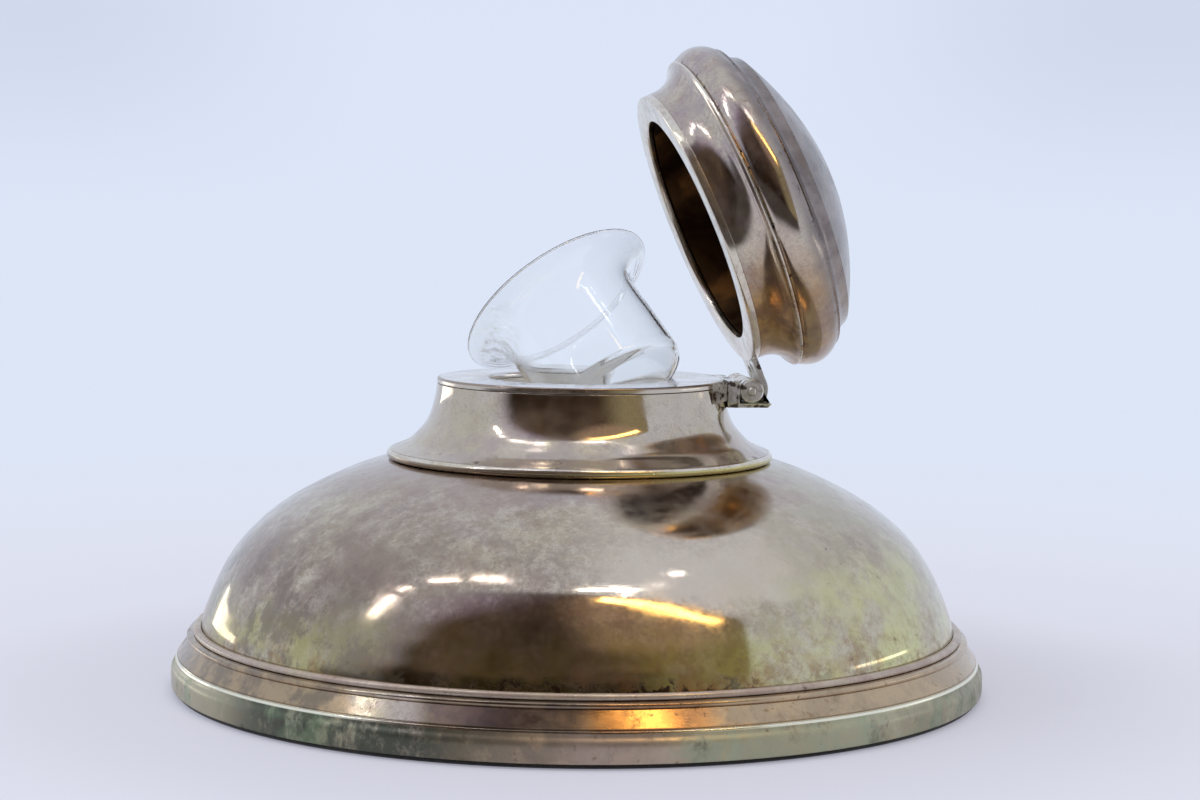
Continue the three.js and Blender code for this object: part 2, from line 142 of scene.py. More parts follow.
class InkwellHingeSizes(bpy.types.PropertyGroup):
    knuckle_radius: length("Knuckle radius", 0.0021, "Radius of the hinge knuckles")
    knuckle_length: length("Knuckle length", 0.0029, "Length of one knuckle")
    knuckle_gap: length("Knuckle gap", 0.00015, "Gap between knuckles")
    pin_radius: length("Pin radius", 0.00075, "Radius of the pin")
    pin_head: length("Pin head", 0.00035, "How far the pin stands out at each end")
    leaf_thickness: length("Leaf thickness", 0.0007, "Thickness of the leaf on the collar")
    leaf_height: length("Leaf height", 0.0034, "Height of the leaf on the collar")
    leaf_span: turn("Leaf span", 34.0, "Half the angle that the leaf wraps round")
    shelf_reach: length("Shelf reach", 0.0036, "How far the shelf reaches past the pin")
    strap_width: length("Strap width", 0.009, "Width of the lid strap")
    strap_clearance: length("Strap clearance", 0.0003, "Gap between strap and knuckles")
    strap_thickness: length("Strap thickness", 0.0011, "Thickness of the lid strap")
    strap_heel: length("Strap heel", 0.0013, "Extra depth at the strap's turned end")
    strap_end: turn("Strap end", 35.0, "Angle at which the strap's turned end stops")


class InkwellLinerSizes(bpy.types.PropertyGroup):
    body_radius: length("Body radius", 0.0126, "Radius of the glass body")
    wall: length("Wall", 0.0007, "Thickness of the glass wall")
    floor: length("Floor", 0.0009, "Thickness of the glass floor")
    depth: length("Depth", 0.022, "Length of the liner below its mouth")
    flange_width: length("Flange width", 0.00565, "How far the flange stands out")
    flange_edge: length("Flange edge", 0.0007, "Thickness of the flange's edge")
    flare: length("Flare", 0.0032, "Height of the flare below the flange")
    corner: length("Corner", 0.0018, "Radius of the bottom corner")
    setback: length("Setback", 0.0062, "Gap from the mouth's edge to the resting flange")
    seat: length("Seat", 0.0003, "Gap below the resting flange")
    lean: turn("Lean", 44.3, "How far the liner leans from upright")
    azimuth: turn("Azimuth", 131.7, "Direction in which the liner leans")


class InkwellFinishes(bpy.types.PropertyGroup):
    silver: tone("Silver", (0.59, 0.51, 0.42), "Tarnished silver where it is cleanest")
    bright_silver: tone("Bright silver", (0.78, 0.71, 0.62), "Silver rubbed bright by use")
    warm_tarnish: tone("Warm tarnish", (0.33, 0.22, 0.20), "Brown and purple tarnish")
    smoky_tarnish: tone("Smoky tarnish", (0.40, 0.325, 0.33), "Grey-purple tarnish")
    green_tarnish: tone("Green tarnish", (0.50, 0.46, 0.22), "Yellow-green tarnish")
    rust: tone("Rust", (0.34, 0.15, 0.04), "Orange-brown stain low on the dome")
    verdigris: tone("Verdigris", (0.42, 0.52, 0.39), "Pale green bloom on the foot")
    grime: tone("Grime", (0.055, 0.030, 0.016), "Dirt in the corners")
    lining: tone("Lining", (0.12, 0.058, 0.020), "Stained inside of the lid")
    room_light: tone("Room light", (0.72, 0.78, 0.90), "Pale surroundings")
    room_dark: tone("Room dark", (0.065, 0.045, 0.033), "Unlit side of the room")
    floor_tone: tone("Floor", (0.70, 0.71, 0.80), "Pale floor")
    backdrop: tone("Backdrop", (0.72, 0.79, 0.93), "Pale background behind the object")


# Mesh helpers


def run_of(points, per_span=6):
    """A smooth run through a few [radius, height] points, for one curved stretch."""
    ends = [points[0], *points, points[-1]]
    out = []
    for i in range(1, len(ends) - 2):
        a, b, c, d = (Vector(p) for p in ends[i - 1:i + 3])
        for k in range(per_span):
            t = k / per_span
            out.append(0.5 * (
                2 * b + (c - a) * t + (2 * a - 5 * b + 4 * c - d) * t * t
                + (3 * b - a - 3 * c + d) * t ** 3
            ))
    out.append(Vector(ends[-1]))
    return [tuple(p) for p in out]


def between(start, end, shares):
    """Points from start to end, each given as a share of the reach and of the height."""
    (r0, z0), (r1, z1) = start, end
    return [(r0 + (r1 - r0) * a, z0 + (z1 - z0) * b) for a, b in shares]


def offsets(r, z, *steps, unit=TENTH):
    """Points given as small steps from one corner of the outline."""
    return [(r + a * unit, z + b * unit) for a, b in steps]


def rounded(r, z, across, up, angles):
    """Points round an ellipse about [r, z], at angles in degrees."""
    return [(r + across * math.cos(a), z + up * math.sin(a)) for a in map(math.radians, angles)]


def bowl(radius, low, rise, reaches):
    """A shallow dome from its edge to its middle, at shares of its radius."""
    return [(radius * a, low + rise * (1 - a * a)) for a in reaches]


def rod(inner, outer, half, chamfer):
    """The outline of a rod or a tube about its middle, chamfered at both ends."""
    return [(inner, -half), (outer - chamfer, -half), (outer, chamfer - half),
            (outer, half - chamfer), (outer - chamfer, half), (inner, half)]


def spun(outline, steps, angle=2 * math.pi, start=0.0):
    """A bmesh of the closed outline, [radius, height] pairs, spun round Z."""
    bm = bmesh.new()
    corners = [bm.verts.new((r, 0, z)) for r, z in outline]
    geom = corners + [bm.edges.new(pair) for pair in zip(corners, corners[1:])]
    if outline[0][0] or outline[-1][0]:
        geom.append(bm.edges.new((corners[-1], corners[0])))
    full = abs(angle - 2 * math.pi) < 1e-6
    if not full:
        face = bm.faces.new(corners)
        geom = [face, *face.edges, *face.verts]
    turned = Matrix.Rotation(start, 3, "Z")
    bmesh.ops.rotate(bm, verts=bm.verts[:], cent=(0, 0, 0), matrix=turned)
    bmesh.ops.spin(bm, geom=geom, cent=(0, 0, 0), axis=(0, 0, 1), angle=angle,
                   steps=steps, use_merge=full, use_duplicate=not full)
    bmesh.ops.remove_doubles(bm, verts=bm.verts[:], dist=1e-7)
    bmesh.ops.recalc_face_normals(bm, faces=bm.faces[:])
    return bm


def slab(outline, width, into=None):
    """A side view, [x, z] pairs, drawn out along Y and centred on it, in its own bmesh
    or in one that is there already."""
    bm = into or bmesh.new()
    face = bm.faces.new([bm.verts.new((x, -width / 2, z)) for x, z in outline])
    out = bmesh.ops.extrude_face_region(bm, geom=[face])
    moved = [v for v in out["geom"] if isinstance(v, bmesh.types.BMVert)]
    bmesh.ops.translate(bm, verts=moved, vec=(0, width, 0))
    bmesh.ops.recalc_face_normals(bm, faces=bm.faces[:])
    return bm


def placed(bm, matrix):
    bmesh.ops.transform(bm, verts=bm.verts[:], matrix=matrix)
    return bm


def piece(name, bm, material, *nodes, body="base", slot="tarnished_silver", place=None,
          round_edge=0.0, crease=32):
    """Makes a finished object of a bmesh, moved to its place, and hands it to the frame.
    Sharp edges are rounded by round_edge, in tenths of a millimetre."""
    own = bm.verts.layers.float_vector.new(PLACE)
    for v in bm.verts:
        v[own] = v.co
    if place is not None:
        placed(bm, place)
    for face in bm.faces:
        face.smooth = True
    mesh = bpy.data.meshes.new(name)
    bm.to_mesh(mesh)
    bm.free()
    mesh.set_sharp_from_angle(angle=math.radians(crease))
    mesh.materials.append(material)
    obj = bpy.data.objects.new(name, mesh)
    bpy.context.scene.collection.objects.link(obj)
    if round_edge:
        soften = obj.modifiers.new("Soft edges", "BEVEL")
        soften.width = round_edge * TENTH
        soften.segments = 2
        soften.limit_method = "ANGLE"
        soften.angle_limit = math.radians(crease)
        soften.harden_normals = True
    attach(obj, body)
    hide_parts(*nodes)
    return obj


# Node helpers


class NodeTree:
    """Short ways to add and join the nodes of one tree, all over one place."""

    def __init__(self, tree):
        self.tree = tree
        self.tree.nodes.clear()
        self.place = None
        self.count = 0

    def add(self, kind, sockets=None, **settings):
        made = self.tree.nodes.new(kind)
        row, column = divmod(self.count, 12)
        made.location = (180 * column, -260 * row)
        self.count += 1
        for name, value in settings.items():
            setattr(made, name, value)
        for name, value in (sockets or {}).items():
            self.feed(made.inputs[name], value)
        return made

    def feed(self, socket, value):
        """Links or sets a socket. A colour may leave out its alpha."""
        if isinstance(value, bpy.types.NodeSocket):
            self.tree.links.new(value, socket)
        elif value is not None:
            socket.default_value = (*value, 1.0)[:4] if socket.type == "RGBA" else value

    def math(self, operation, a, b=0.5, c=None, clamp=False):
        made = self.add("ShaderNodeMath", operation=operation, use_clamp=clamp)
        for socket, value in zip(made.inputs, (a, b, c)):
            self.feed(socket, value)
        return made.outputs[0]

    def times(self, first, *others):
        for value in others:
            first = self.math("MULTIPLY", first, value)
        return first

    def most(self, first, *others):
        for value in others:
            first = self.math("MAXIMUM", first, value)
        return first

    def more(self, base, value, factor=1.0):
        """The base with the value added to it, by a factor."""
        return self.math("MULTIPLY_ADD", value, factor, base)

    def less(self, value):
        """What the value leaves of one."""
        return self.math("SUBTRACT", 1.0, value)

    def vector(self, operation, a, b=None):
        made = self.add("ShaderNodeVectorMath", operation=operation)
        self.feed(made.inputs[0], a)
        self.feed(made.inputs[1], b)
        return made.outputs["Vector" if operation == "ADD" else "Value"]

    def mapped(self, scale=(1.0, 1.0, 1.0), rotation=(0.0, 0.0, 0.0)):
        sockets = {"Vector": self.place, "Rotation": rotation, "Scale": scale}
        return self.add("ShaderNodeMapping", sockets).outputs[0]

    def mix(self, share, a, b, blend="MIX", label=""):
        made = self.add("ShaderNodeMix", data_type="RGBA", blend_type=blend, label=label)
        for name, value in (("Factor_Float", share), ("A_Color", a), ("B_Color", b)):
            socket = next(s for s in made.inputs if s.identifier == name)
            self.feed(socket, value)
        return next(s for s in made.outputs if s.identifier == "Result_Color")

    def span(self, value, low, high, to_low=0.0, to_high=1.0):
        """Goes smoothly from one end to the other as the value goes from low to high."""
        return self.add("ShaderNodeMapRange", {
            "Value": value, "From Min": low, "From Max": high,
            "To Min": to_low, "To Max": to_high,
        }, interpolation_type="SMOOTHSTEP", clamp=True).outputs["Result"]

    def near(self, value, centre, inner, outer, inside=1.0, beyond=0.0):
        """A span over how far the value is from a centre."""
        away = self.math("ABSOLUTE", self.math("SUBTRACT", value, centre))
        return self.span(away, inner, outer, inside, beyond)

    def toward(self, facing, low, high, *ends):
        """A span over how far the place lies in a direction."""
        return self.span(self.vector("DOT_PRODUCT", self.place, facing), low, high, *ends)

    def noise(self, scale, detail=4.0, roughness=0.55, distortion=0.0, place=None):
        """Noise over the tree's place, or over the place given."""
        return self.add("ShaderNodeTexNoise", {
            "Vector": place or self.place, "Scale": scale, "Detail": detail,
            "Roughness": roughness, "Distortion": distortion,
        }).outputs["Fac"]

    def cloud(self, scale, low, high, *ends, detail=6.0, roughness=0.7, place=None):
        """A span over noise."""
        return self.span(self.noise(scale, detail, roughness, place=place), low, high, *ends)

    def part(self, name, **sockets):
        """One of the shared groups, over the tree's place."""
        tree = bpy.data.node_groups.get(name) or GROUPS[name](name)
        return self.add("ShaderNodeGroup", {"Place": self.place, **sockets}, node_tree=tree).outputs

    def axes(self):
        return self.add("ShaderNodeSeparateXYZ", {"Vector": self.place}).outputs

    def joined(self, share, first, second):
        """One shader or the other, by a share."""
        made = self.add("ShaderNodeMixShader", {"Fac": share})
        self.feed(made.inputs[1], first)
        self.feed(made.inputs[2], second)
        return made.outputs[0]


class GroupTree(NodeTree):
    """The tree of a shared group, which takes a place, and colours and numbers by name."""

    def __init__(self, name, colours=(), **numbers):
        super().__init__(bpy.data.node_groups.new(name, "ShaderNodeTree"))
        self.socket("Place", "INPUT", "NodeSocketVector")
        for label in colours:
            self.socket(label, "INPUT", "NodeSocketColor")
        for label, value in numbers.items():
            self.socket(label, "INPUT", "NodeSocketFloat").default_value = value
        self.take = self.add("NodeGroupInput").outputs
        self.place = self.take["Place"]

    def socket(self, label, side, kind):
        return self.tree.interface.new_socket(label, in_out=side, socket_type=kind)

    def give(self, **values):
        """Ends the group with the outputs named here."""
        for label, value in values.items():
            kind = "NodeSocketColor" if value.type == "RGBA" else "NodeSocketFloat"
            self.socket(label, "OUTPUT", kind)
        self.add("NodeGroupOutput", values)
        return self.tree


def turned_place_group(name):
    """Radius, height and reach along X of a point in its piece's own frame."""
    t = GroupTree(name)
    x, y, z = t.axes()
    flat = t.add("ShaderNodeCombineXYZ", {"X": x, "Y": y}).outputs[0]
    return t.give(Radius=t.vector("LENGTH", flat), Height=z, Across=x)


def tarnish_group(name):
    """Cloudy tarnish: its colour, roughness, how far it hides the metal, and a height."""
    t = GroupTree(name, ("Silver", "Warm", "Smoky", "Green"),
                  Size=70.0, Warmth=0.4, Greenness=0.2, Smooth=0.06, Dull=0.2)
    take = t.take
    shifted = t.vector("ADD", t.place, (0.13, 0.37, 0.21))
    broad, medium, fine, grain, other, third = (
        t.noise(t.times(take["Size"], finer), detail, roughness, place=place)
        for finer, detail, roughness, place in (
            (1.0, 5.0, 0.62, t.place), (2.9, 6.0, 0.7, t.place), (13.0, 4.0, 0.65, t.place),
            (42.0, 2.0, 0.6, t.place), (0.8, 5.0, 0.65, shifted), (2.0, 4.0, 0.6, shifted),
        )
    )
    cloud = t.more(t.times(broad, 0.5), medium, 0.5)
    warm = t.times(t.span(cloud, 0.44, 0.60), take["Warmth"])
    green = t.times(t.span(other, 0.44, 0.60), take["Greenness"])
    stain = t.mix(t.span(third, 0.42, 0.58), take["Warm"], take["Smoky"])
    freckle = t.times(t.span(fine, 0.50, 0.66), t.more(0.10, warm, 0.9))
    colour = take["Silver"]
    for share, coat in ((warm, stain), (green, take["Green"]), (freckle, take["Warm"])):
        colour = t.mix(share, colour, coat)
    shade = t.add("ShaderNodeCombineColor", {
        channel: t.span(grain, 0.3, 0.7, dark, light)
        for channel, dark, light in (("Red", 0.90, 1.06), ("Green", 0.89, 1.06), ("Blue", 0.87, 1.05))
    }).outputs[0]
    dull = t.math("SUBTRACT", take["Dull"], take["Smooth"])
    return t.give(
        Colour=t.mix(1.0, colour, shade, "MULTIPLY"),
        Roughness=t.more(take["Smooth"], t.span(cloud, 0.42, 0.64), dull),
        Film=t.more(t.times(warm, 0.14), green, 0.20), Height=t.times(fine, 0.5),
    )


def specks_group(name):
    """Scattered dark specks and blots, as a mask."""
    t = GroupTree(name, Size=200.0, Amount=0.5)
    blots = t.noise(t.take["Size"], 6.0, 0.66, 0.15)
    limit = t.math("SUBTRACT", 0.78, t.times(t.take["Amount"], 0.36))
    return t.give(Mask=t.span(blots, limit, t.more(limit, 0.07)))


def wear_group(name):
    """Fine scratches, and shallow dents, as heights."""
    t = GroupTree(name)
    scratches = 0.0
    for turned, scale in (((0.3, 0.2, 0.5), 60.0), ((1.1, 0.7, -0.4), 75.0), ((0.2, 1.3, 1.9), 50.0)):
        streak = t.noise(scale, 3.0, 0.6, place=t.mapped((1.0, 14.0, 1.0), turned))
        scratches = t.more(scratches, t.near(streak, 0.5, 0.0, 0.006))
    return t.give(Scratches=scratches, Dents=t.noise(55.0, 1.5, 0.4))


GROUPS = {
    "Turned place": turned_place_group, "Cloudy tarnish": tarnish_group,
    "Specks": specks_group, "Wear marks": wear_group,
}


class FinishTree(NodeTree):
    """The tree of one material, over its piece's own place or over Object coordinates."""

    def __init__(self, name, own=True):
        self.material = bpy.data.materials.new(name)
        self.material.use_nodes = True
        super().__init__(self.material.node_tree)
        self.shader = self.add("ShaderNodeBsdfPrincipled")
        self.end = self.add("ShaderNodeOutputMaterial", {"Surface": self.shader.outputs["BSDF"]})
        if own:
            self.place = self.add("ShaderNodeAttribute", attribute_name=PLACE).outputs["Vector"]
        else:
            self.place = self.add("ShaderNodeTexCoord").outputs["Object"]

    def surface(self, sockets, *heights):
        """Feeds the shader, with bumps given as (height, depth in metres, share)."""
        normal = None
        for height, depth, share in heights:
            normal = self.add("ShaderNodeBump", {
                "Height": height, "Distance": depth, "Strength": share, "Normal": normal,
            }).outputs["Normal"]
        for name, value in {**sockets, "Normal": normal}.items():
            self.feed(self.shader.inputs[name], value)
        return self.material


class SilverTree(FinishTree):
    """Tarnished silver. Each finish lays the coats that belong to its own piece on it."""

    def __init__(self, name, finishes, *, size, warm, green, smooth, dull, silver=None, low=0.0):
        super().__init__(name)
        self.grime = finishes.grime
        where, self.marks = self.part("Turned place"), self.part("Wear marks")
        self.radius, self.height, self.x = where["Radius"], where["Height"], where["Across"]
        self.low, self.level = low, self.height
        self.metal = self.part(
            "Cloudy tarnish", Size=size, Silver=silver or finishes.silver,
            Warm=finishes.warm_tarnish, Smoky=finishes.smoky_tarnish, Green=finishes.green_tarnish,
            Warmth=warm, Greenness=green, Smooth=smooth, Dull=dull,
        )
        self.colour, self.rough, self.film = (
            self.metal[name] for name in ("Colour", "Roughness", "Film"))

    def across(self, start, end, *ends):
        """A span from left to right."""
        return self.span(self.x, start, end, *ends)

    def up(self, start, end, *ends):
        """A span over height, counted from the low edge that the finish names."""
        return self.span(self.level, self.low + start, self.low + end, *ends)

    def specks(self, size, amount, where):
        return self.times(self.part("Specks", Size=size, Amount=amount)["Mask"], where)

    def coat(self, label, share, tint):
        self.colour = self.mix(share, self.colour, tint, label=label)

    def dirt(self, *masks):
        """Dark dirt, rougher than the metal."""
        mask = self.most(*masks)
        self.coat("Dirt", mask, self.grime)
        self.rough = self.more(self.rough, mask, 0.35)

    def done(self, dents=0.12):
        """Joins what the coats have come to, with dents and scratches in the metal."""
        scratches = self.marks["Scratches"]
        return self.surface({
            "Base Color": self.colour,
            "Metallic": self.math("SUBTRACT", 1.0, self.film, clamp=True),
            "Roughness": self.more(self.more(self.rough, scratches, 0.02), self.film, 0.15),
        }, (self.marks["Dents"], 0.0006, dents), (self.metal["Height"], 0.00002, 0.12),
            (scratches, 0.000004, 0.1))


# Finishes


def dome_finish(finishes):
    """The dome: mottled brown in a belt, yellow-green low down, dirt along its root."""
    low, high = DOME_BOX[0].z, DOME_BOX[1].z
    t = SilverTree("Dome silver", finishes, size=80.0, warm=0.50, green=0.22,
                   smooth=0.06, dull=0.17, low=low)
    ragged = t.math("SUBTRACT", t.noise(120.0, 6.0, 0.7), 0.5)
    t.level = t.more(t.height, ragged, 0.012)

    t.coat("Stipple", t.cloud(360.0, 0.46, 0.60, 0.0, 0.42, detail=3.0), (0.36, 0.27, 0.18))
    pale = t.cloud(820.0, 0.52, 0.66, 0.0, 0.35, detail=2.0, roughness=0.6)
    t.coat("Pale", pale, (0.70, 0.61, 0.50))
    belt = t.times(t.up(0.006, 0.013), t.up(0.020, 0.028, 0.65, 0.2),
                   t.cloud(260.0, 0.44, 0.60, roughness=0.74))
    t.coat("Belt", belt, (0.34, 0.27, 0.22))
    left = t.times(t.across(-0.004, -0.040, 0.0, 0.78), t.cloud(52.0, 0.38, 0.60, roughness=0.72),
                   t.up(0.025, 0.019, 0.3, 1.0))
    t.coat("Brown left", left, (0.30, 0.225, 0.185))
    rubbed = t.times(t.across(-0.012, 0.002), t.across(0.040, 0.022),
                     t.up(0.011, 0.015, 0.0, 0.9), t.up(0.025, 0.019, 0.5, 1.0))
    t.coat("Rubbed", rubbed, (0.68, 0.58, 0.47))
    t.coat("Crest", t.span(t.level, high - 0.0050, high - 0.0015, 0.0, 0.55), (0.38, 0.28, 0.24))

    patch = t.cloud(95.0, 0.38, 0.60, 0.25, 1.0, detail=5.0, roughness=0.65)
    green_low = t.times(t.up(0.005, 0.013, 0.85, 0.0), patch, t.across(-0.030, -0.018, 0.75, 1.0),
                        t.cloud(300.0, 0.50, 0.64, 1.0, 0.55, detail=4.0))
    green_side = t.times(t.across(0.010, 0.035, 0.0, 0.65), patch)
    green = t.mix(t.across(0.0, 0.04), (0.44, 0.40, 0.14), (0.64, 0.61, 0.30))
    green = t.mix(t.up(0.013, 0.020, 0.0, 0.9), green, (0.44, 0.39, 0.28))
    t.coat("Yellow-green", t.most(green_low, green_side), green)
    corner = t.times(t.across(-0.022, -0.045), t.cloud(88.0, 0.47, 0.58, roughness=0.74),
                     t.up(0.020, 0.012, 0.0, 0.62))
    t.coat("Dark corner", corner, (0.19, 0.145, 0.12))
    shade = t.times(t.across(-0.029, -0.036), t.across(-0.049, -0.043),
                    t.up(0.018, 0.009, 0.0, 0.5))
    t.coat("Shade", shade, (0.22, 0.18, 0.13))

    rust = t.times(t.up(0.002, 0.0060, 0.75, 0.0), t.cloud(170.0, 0.47, 0.60),
                   t.across(0.014, 0.026, 1.0, 0.35), t.across(-0.034, -0.026, 0.45, 1.0))
    t.coat("Rust", rust, finishes.rust)
    freckles = t.times(t.cloud(280.0, 0.46, 0.64, roughness=0.74), t.up(0.004, 0.011, 0.6, 0.0),
                       t.across(-0.034, -0.020))
    t.coat("Freckles", freckles, (0.30, 0.185, 0.09))
    rooty = t.more(t.height, ragged, 0.0055)
    root = t.times(t.span(rooty, low + 0.0017, low + 0.0032, 1.0, 0.0),
                   t.near(t.x, -0.01, 0.016, 0.034, 1.0, 0.3))
    t.dirt(t.specks(520.0, 0.8, root), t.specks(560.0, 0.33, 0.5))
    t.rough = t.more(t.rough, t.span(t.height, high - 0.012, high - 0.004, 0.0, 0.06))
    t.film = t.more(t.times(t.film, t.across(-0.01, 0.02, 0.3, 1.0)), freckles, 0.10)
    t.film = t.more(t.film, rust, 0.16)
    return t.done(dents=0.04)


def foot_finish(finishes):
    """The foot: brown dirt on the shoulder, with painted shade at its front and a painted highlight
    where a lamp falls, a bright edge that is polish with a painted highlight at the sides, and a pale
    green bloom below.
    """
    low = FOOT_BOX[0].z
    arris, groove, fillet = low + 0.00483, low + 0.00525, low + 0.00795
    t = SilverTree("Foot silver", finishes, size=80.0, warm=0.7, green=0.3,
                   smooth=0.10, dull=0.22, low=low)
    band = t.up(0.0045, 0.0048, 1.0, 0.0)
    above = t.less(band)
    off_centre = t.near(t.x, -0.017, 0.016, 0.029, 0.0, 1.0)

    brown = t.mix(t.cloud(160.0, 0.42, 0.60), (0.22, 0.165, 0.115), (0.43, 0.31, 0.18))
    # Where Tube 1's highlight falls on the shoulder the brown is left off, so the silver there is
    # lighter: a painted highlight.
    highlight_patch = t.near(t.x, -0.0375, 0.003, 0.007, 0.9)
    t.coat("Brown", t.math("SUBTRACT", t.more(0.85, band, -0.1), highlight_patch), brown)
    # Darker over the front of the shoulder, where it catches no ceiling light: painted shade.
    painted_front_shade = t.times(t.across(-0.034, -0.029), t.across(-0.004, -0.009), above, 0.5)
    for label, share, tint in (
        ("Tan right", t.times(t.across(0.008, 0.016, 0.0, 0.55), above), (0.62, 0.46, 0.29)),
        ("Painted front shade", painted_front_shade, (0.16, 0.13, 0.12)),
        ("Ember", t.times(t.near(t.x, 0.002, 0.007, 0.012, 0.75), above), (0.34, 0.19, 0.10)),
        ("Pink front", t.times(t.near(t.x, -0.002, 0.006, 0.014, 0.5), band), (0.60, 0.47, 0.40)),
        ("Yellow", t.times(band, off_centre, 0.65), (0.50, 0.48, 0.32)),
    ):
        t.coat(label, share, tint)

    mint = t.times(t.across(0.004, 0.026), t.across(0.044, 0.034), band,
                   t.cloud(150.0, 0.36, 0.60, 0.25, 1.0, roughness=0.72))
    bloom = t.times(t.span(t.noise(105.0, 6.0, 0.7, 0.3), 0.47, 0.60), band, off_centre)
    bloom = t.most(bloom, t.times(mint, 0.8))
    t.coat("Verdigris", t.times(bloom, 0.6), finishes.verdigris)
    streaky = t.cloud(170.0, 0.26, 0.52, detail=7.0, roughness=0.76,
                      place=t.mapped((1.0, 1.0, 0.7)))
    where = t.times(t.across(-0.016, -0.034, 0.14, 1.0), t.across(-0.066, -0.055, 0.2, 1.0))
    where = t.most(where, t.across(0.036, 0.054, 0.0, 0.42))
    t.coat("Dark streaks", t.times(streaky, where, band), (0.085, 0.090, 0.068))
    leaf = t.times(t.across(-0.044, -0.049), t.across(-0.060, -0.055), band,
                   t.cloud(130.0, 0.44, 0.58, 0.0, 0.45, detail=5.0, roughness=0.55))
    t.coat("Leaf green", leaf, (0.18, 0.27, 0.15))

    blot = t.cloud(210.0, 0.52, 0.66, 0.0, 0.8, detail=7.0, roughness=0.78,
                   place=t.mapped((1.0, 1.0, 0.6)))
    blot = t.times(blot, t.across(0.010, 0.020, 1.0, 0.45),
                   t.cloud(42.0, 0.44, 0.60, detail=2.0, roughness=0.55))
    t.dirt(blot, t.specks(620.0, 0.45, 0.45), t.near(t.height, groove, 0.00004, 0.00016, 0.5),
           t.near(t.height, fillet, 0.0, 0.00022, 0.15))
    # A bright arris, kept off the front: polish, and a painted highlight at the sides, which catch the
    # ceiling light.
    polish_and_highlight = t.times(t.near(t.height, arris, 0.00012, 0.00032, 0.95), off_centre)
    t.coat("Polished edge and painted highlight", polish_and_highlight, (0.90, 0.86, 0.68))
    t.rough = t.more(t.more(t.rough, bloom, 0.3), band, 0.14)
    t.film = t.times(t.more(t.more(t.film, mint, 0.15), band, 0.32), t.less(polish_and_highlight))
    return t.done(dents=0.05)


def lip_finish(finishes):
    """The wire below the collar: bright on top, brown and yellow-green beneath."""
    t = SilverTree("Lip silver", finishes, size=110.0, warm=0.35, green=0.3, smooth=0.12,
                   dull=0.24, silver=finishes.bright_silver, low=LIP_BOX[0].z)
    drift = t.more(t.x, t.noise(60.0, 3.0), 0.03)
    tint = t.mix(t.span(drift, 0.0, 0.014), (0.22, 0.155, 0.095), (0.54, 0.47, 0.17))
    under = t.up(0.00085, 0.00115, 0.92, 0.0)
    t.coat("Underside", under, tint)
    t.dirt(t.specks(420.0, 0.45, t.up(0.0, 0.0010, 0.9, 0.3)))
    t.film = t.more(t.film, under, 0.25)
    return t.done()


def collar_finish(finishes):
    """The collar: smoky, duller and dirtier towards its root."""
    t = SilverTree("Collar silver", finishes, size=110.0, warm=0.22, green=0.22,
                   smooth=0.05, dull=0.14, low=COLLAR_BOX[0].z)
    smoky = t.times(t.cloud(120.0, 0.42, 0.62, detail=5.0, roughness=0.65),
                    t.up(0.003, 0.006, 0.5, 0.05))
    t.coat("Smoky", smoky, finishes.smoky_tarnish)
    t.dirt(t.specks(300.0, 0.5, t.more(t.up(0.0, 0.0016, 0.6, 0.0), 0.16)))
    t.rough = t.more(t.rough, t.up(0.0035, 0.0055, 0.07, 0.0))
    t.film = t.more(t.film, t.up(0.003, 0.006, 0.08, 0.0))
    return t.done(dents=0.04)


def lid_finish(finishes, neck_top, crown):
    """The lid: brown and purple, golden near the hinge with a painted reflection there, a painted dark
    reflection over its top, bright along its worn edges.
    """
    t = SilverTree("Lid silver", finishes, size=80.0, warm=0.65, green=0.08,
                   smooth=0.10, dull=0.20, low=neck_top)
    ragged = t.noise(130.0, 6.0, 0.7)
    drift = t.more(t.x, t.math("SUBTRACT", ragged, 0.5), 0.02)
    # Golden tarnish near the hinge, deepened as a painted reflection of the hinge, the plate and the
    # dome below it.
    golden_and_reflection = t.times(t.span(drift, 0.002, 0.015, 0.0, 0.95), t.up(0.0, 0.0015, 1.0, 0.55),
                     t.span(t.height, crown, crown + 0.001, 1.0, 0.2))
    gold = t.mix(t.cloud(210.0, 0.40, 0.60), (0.24, 0.125, 0.04), (0.46, 0.28, 0.085))
    t.coat("Golden tarnish and painted reflection", golden_and_reflection, gold)
    smoky = t.times(t.span(ragged, 0.42, 0.62), t.across(0.01, -0.015, 0.15, 0.65))
    t.coat("Smoky", smoky, finishes.smoky_tarnish)
    # A painted dark reflection over the top of the moulding and the crown, stronger away from the
    # hinge, with cloudy tarnish in it.
    top = t.times(t.span(t.height, crown - 0.0035, crown, 0.0, 0.85),
                  t.across(0.022, 0.006, 0.6, 1.0))
    cloudy = t.mix(t.span(ragged, 0.40, 0.60), (0.15, 0.125, 0.125), (0.27, 0.225, 0.21))
    t.coat("Painted dark reflection on top", top, cloudy)
    t.rough = t.more(t.rough, top, 0.10)
    seam = neck_top + 0.0003
    hollow = t.most(t.near(t.height, seam, 0.0002, 0.0009, 0.9),
                    t.near(t.height, crown, 0.0002, 0.0014, 0.35))
    t.dirt(t.specks(620.0, 0.55, t.more(hollow, 0.14)))
    worn = t.times(t.near(t.height, neck_top, 0.0001, 0.0003, 0.9),
                   t.span(ragged, 0.40, 0.50, 0.3, 1.0))
    t.coat("Worn edge", worn, finishes.bright_silver)
    t.film = t.more(t.film, golden_and_reflection, 0.2)
    return t.done(dents=0.10)


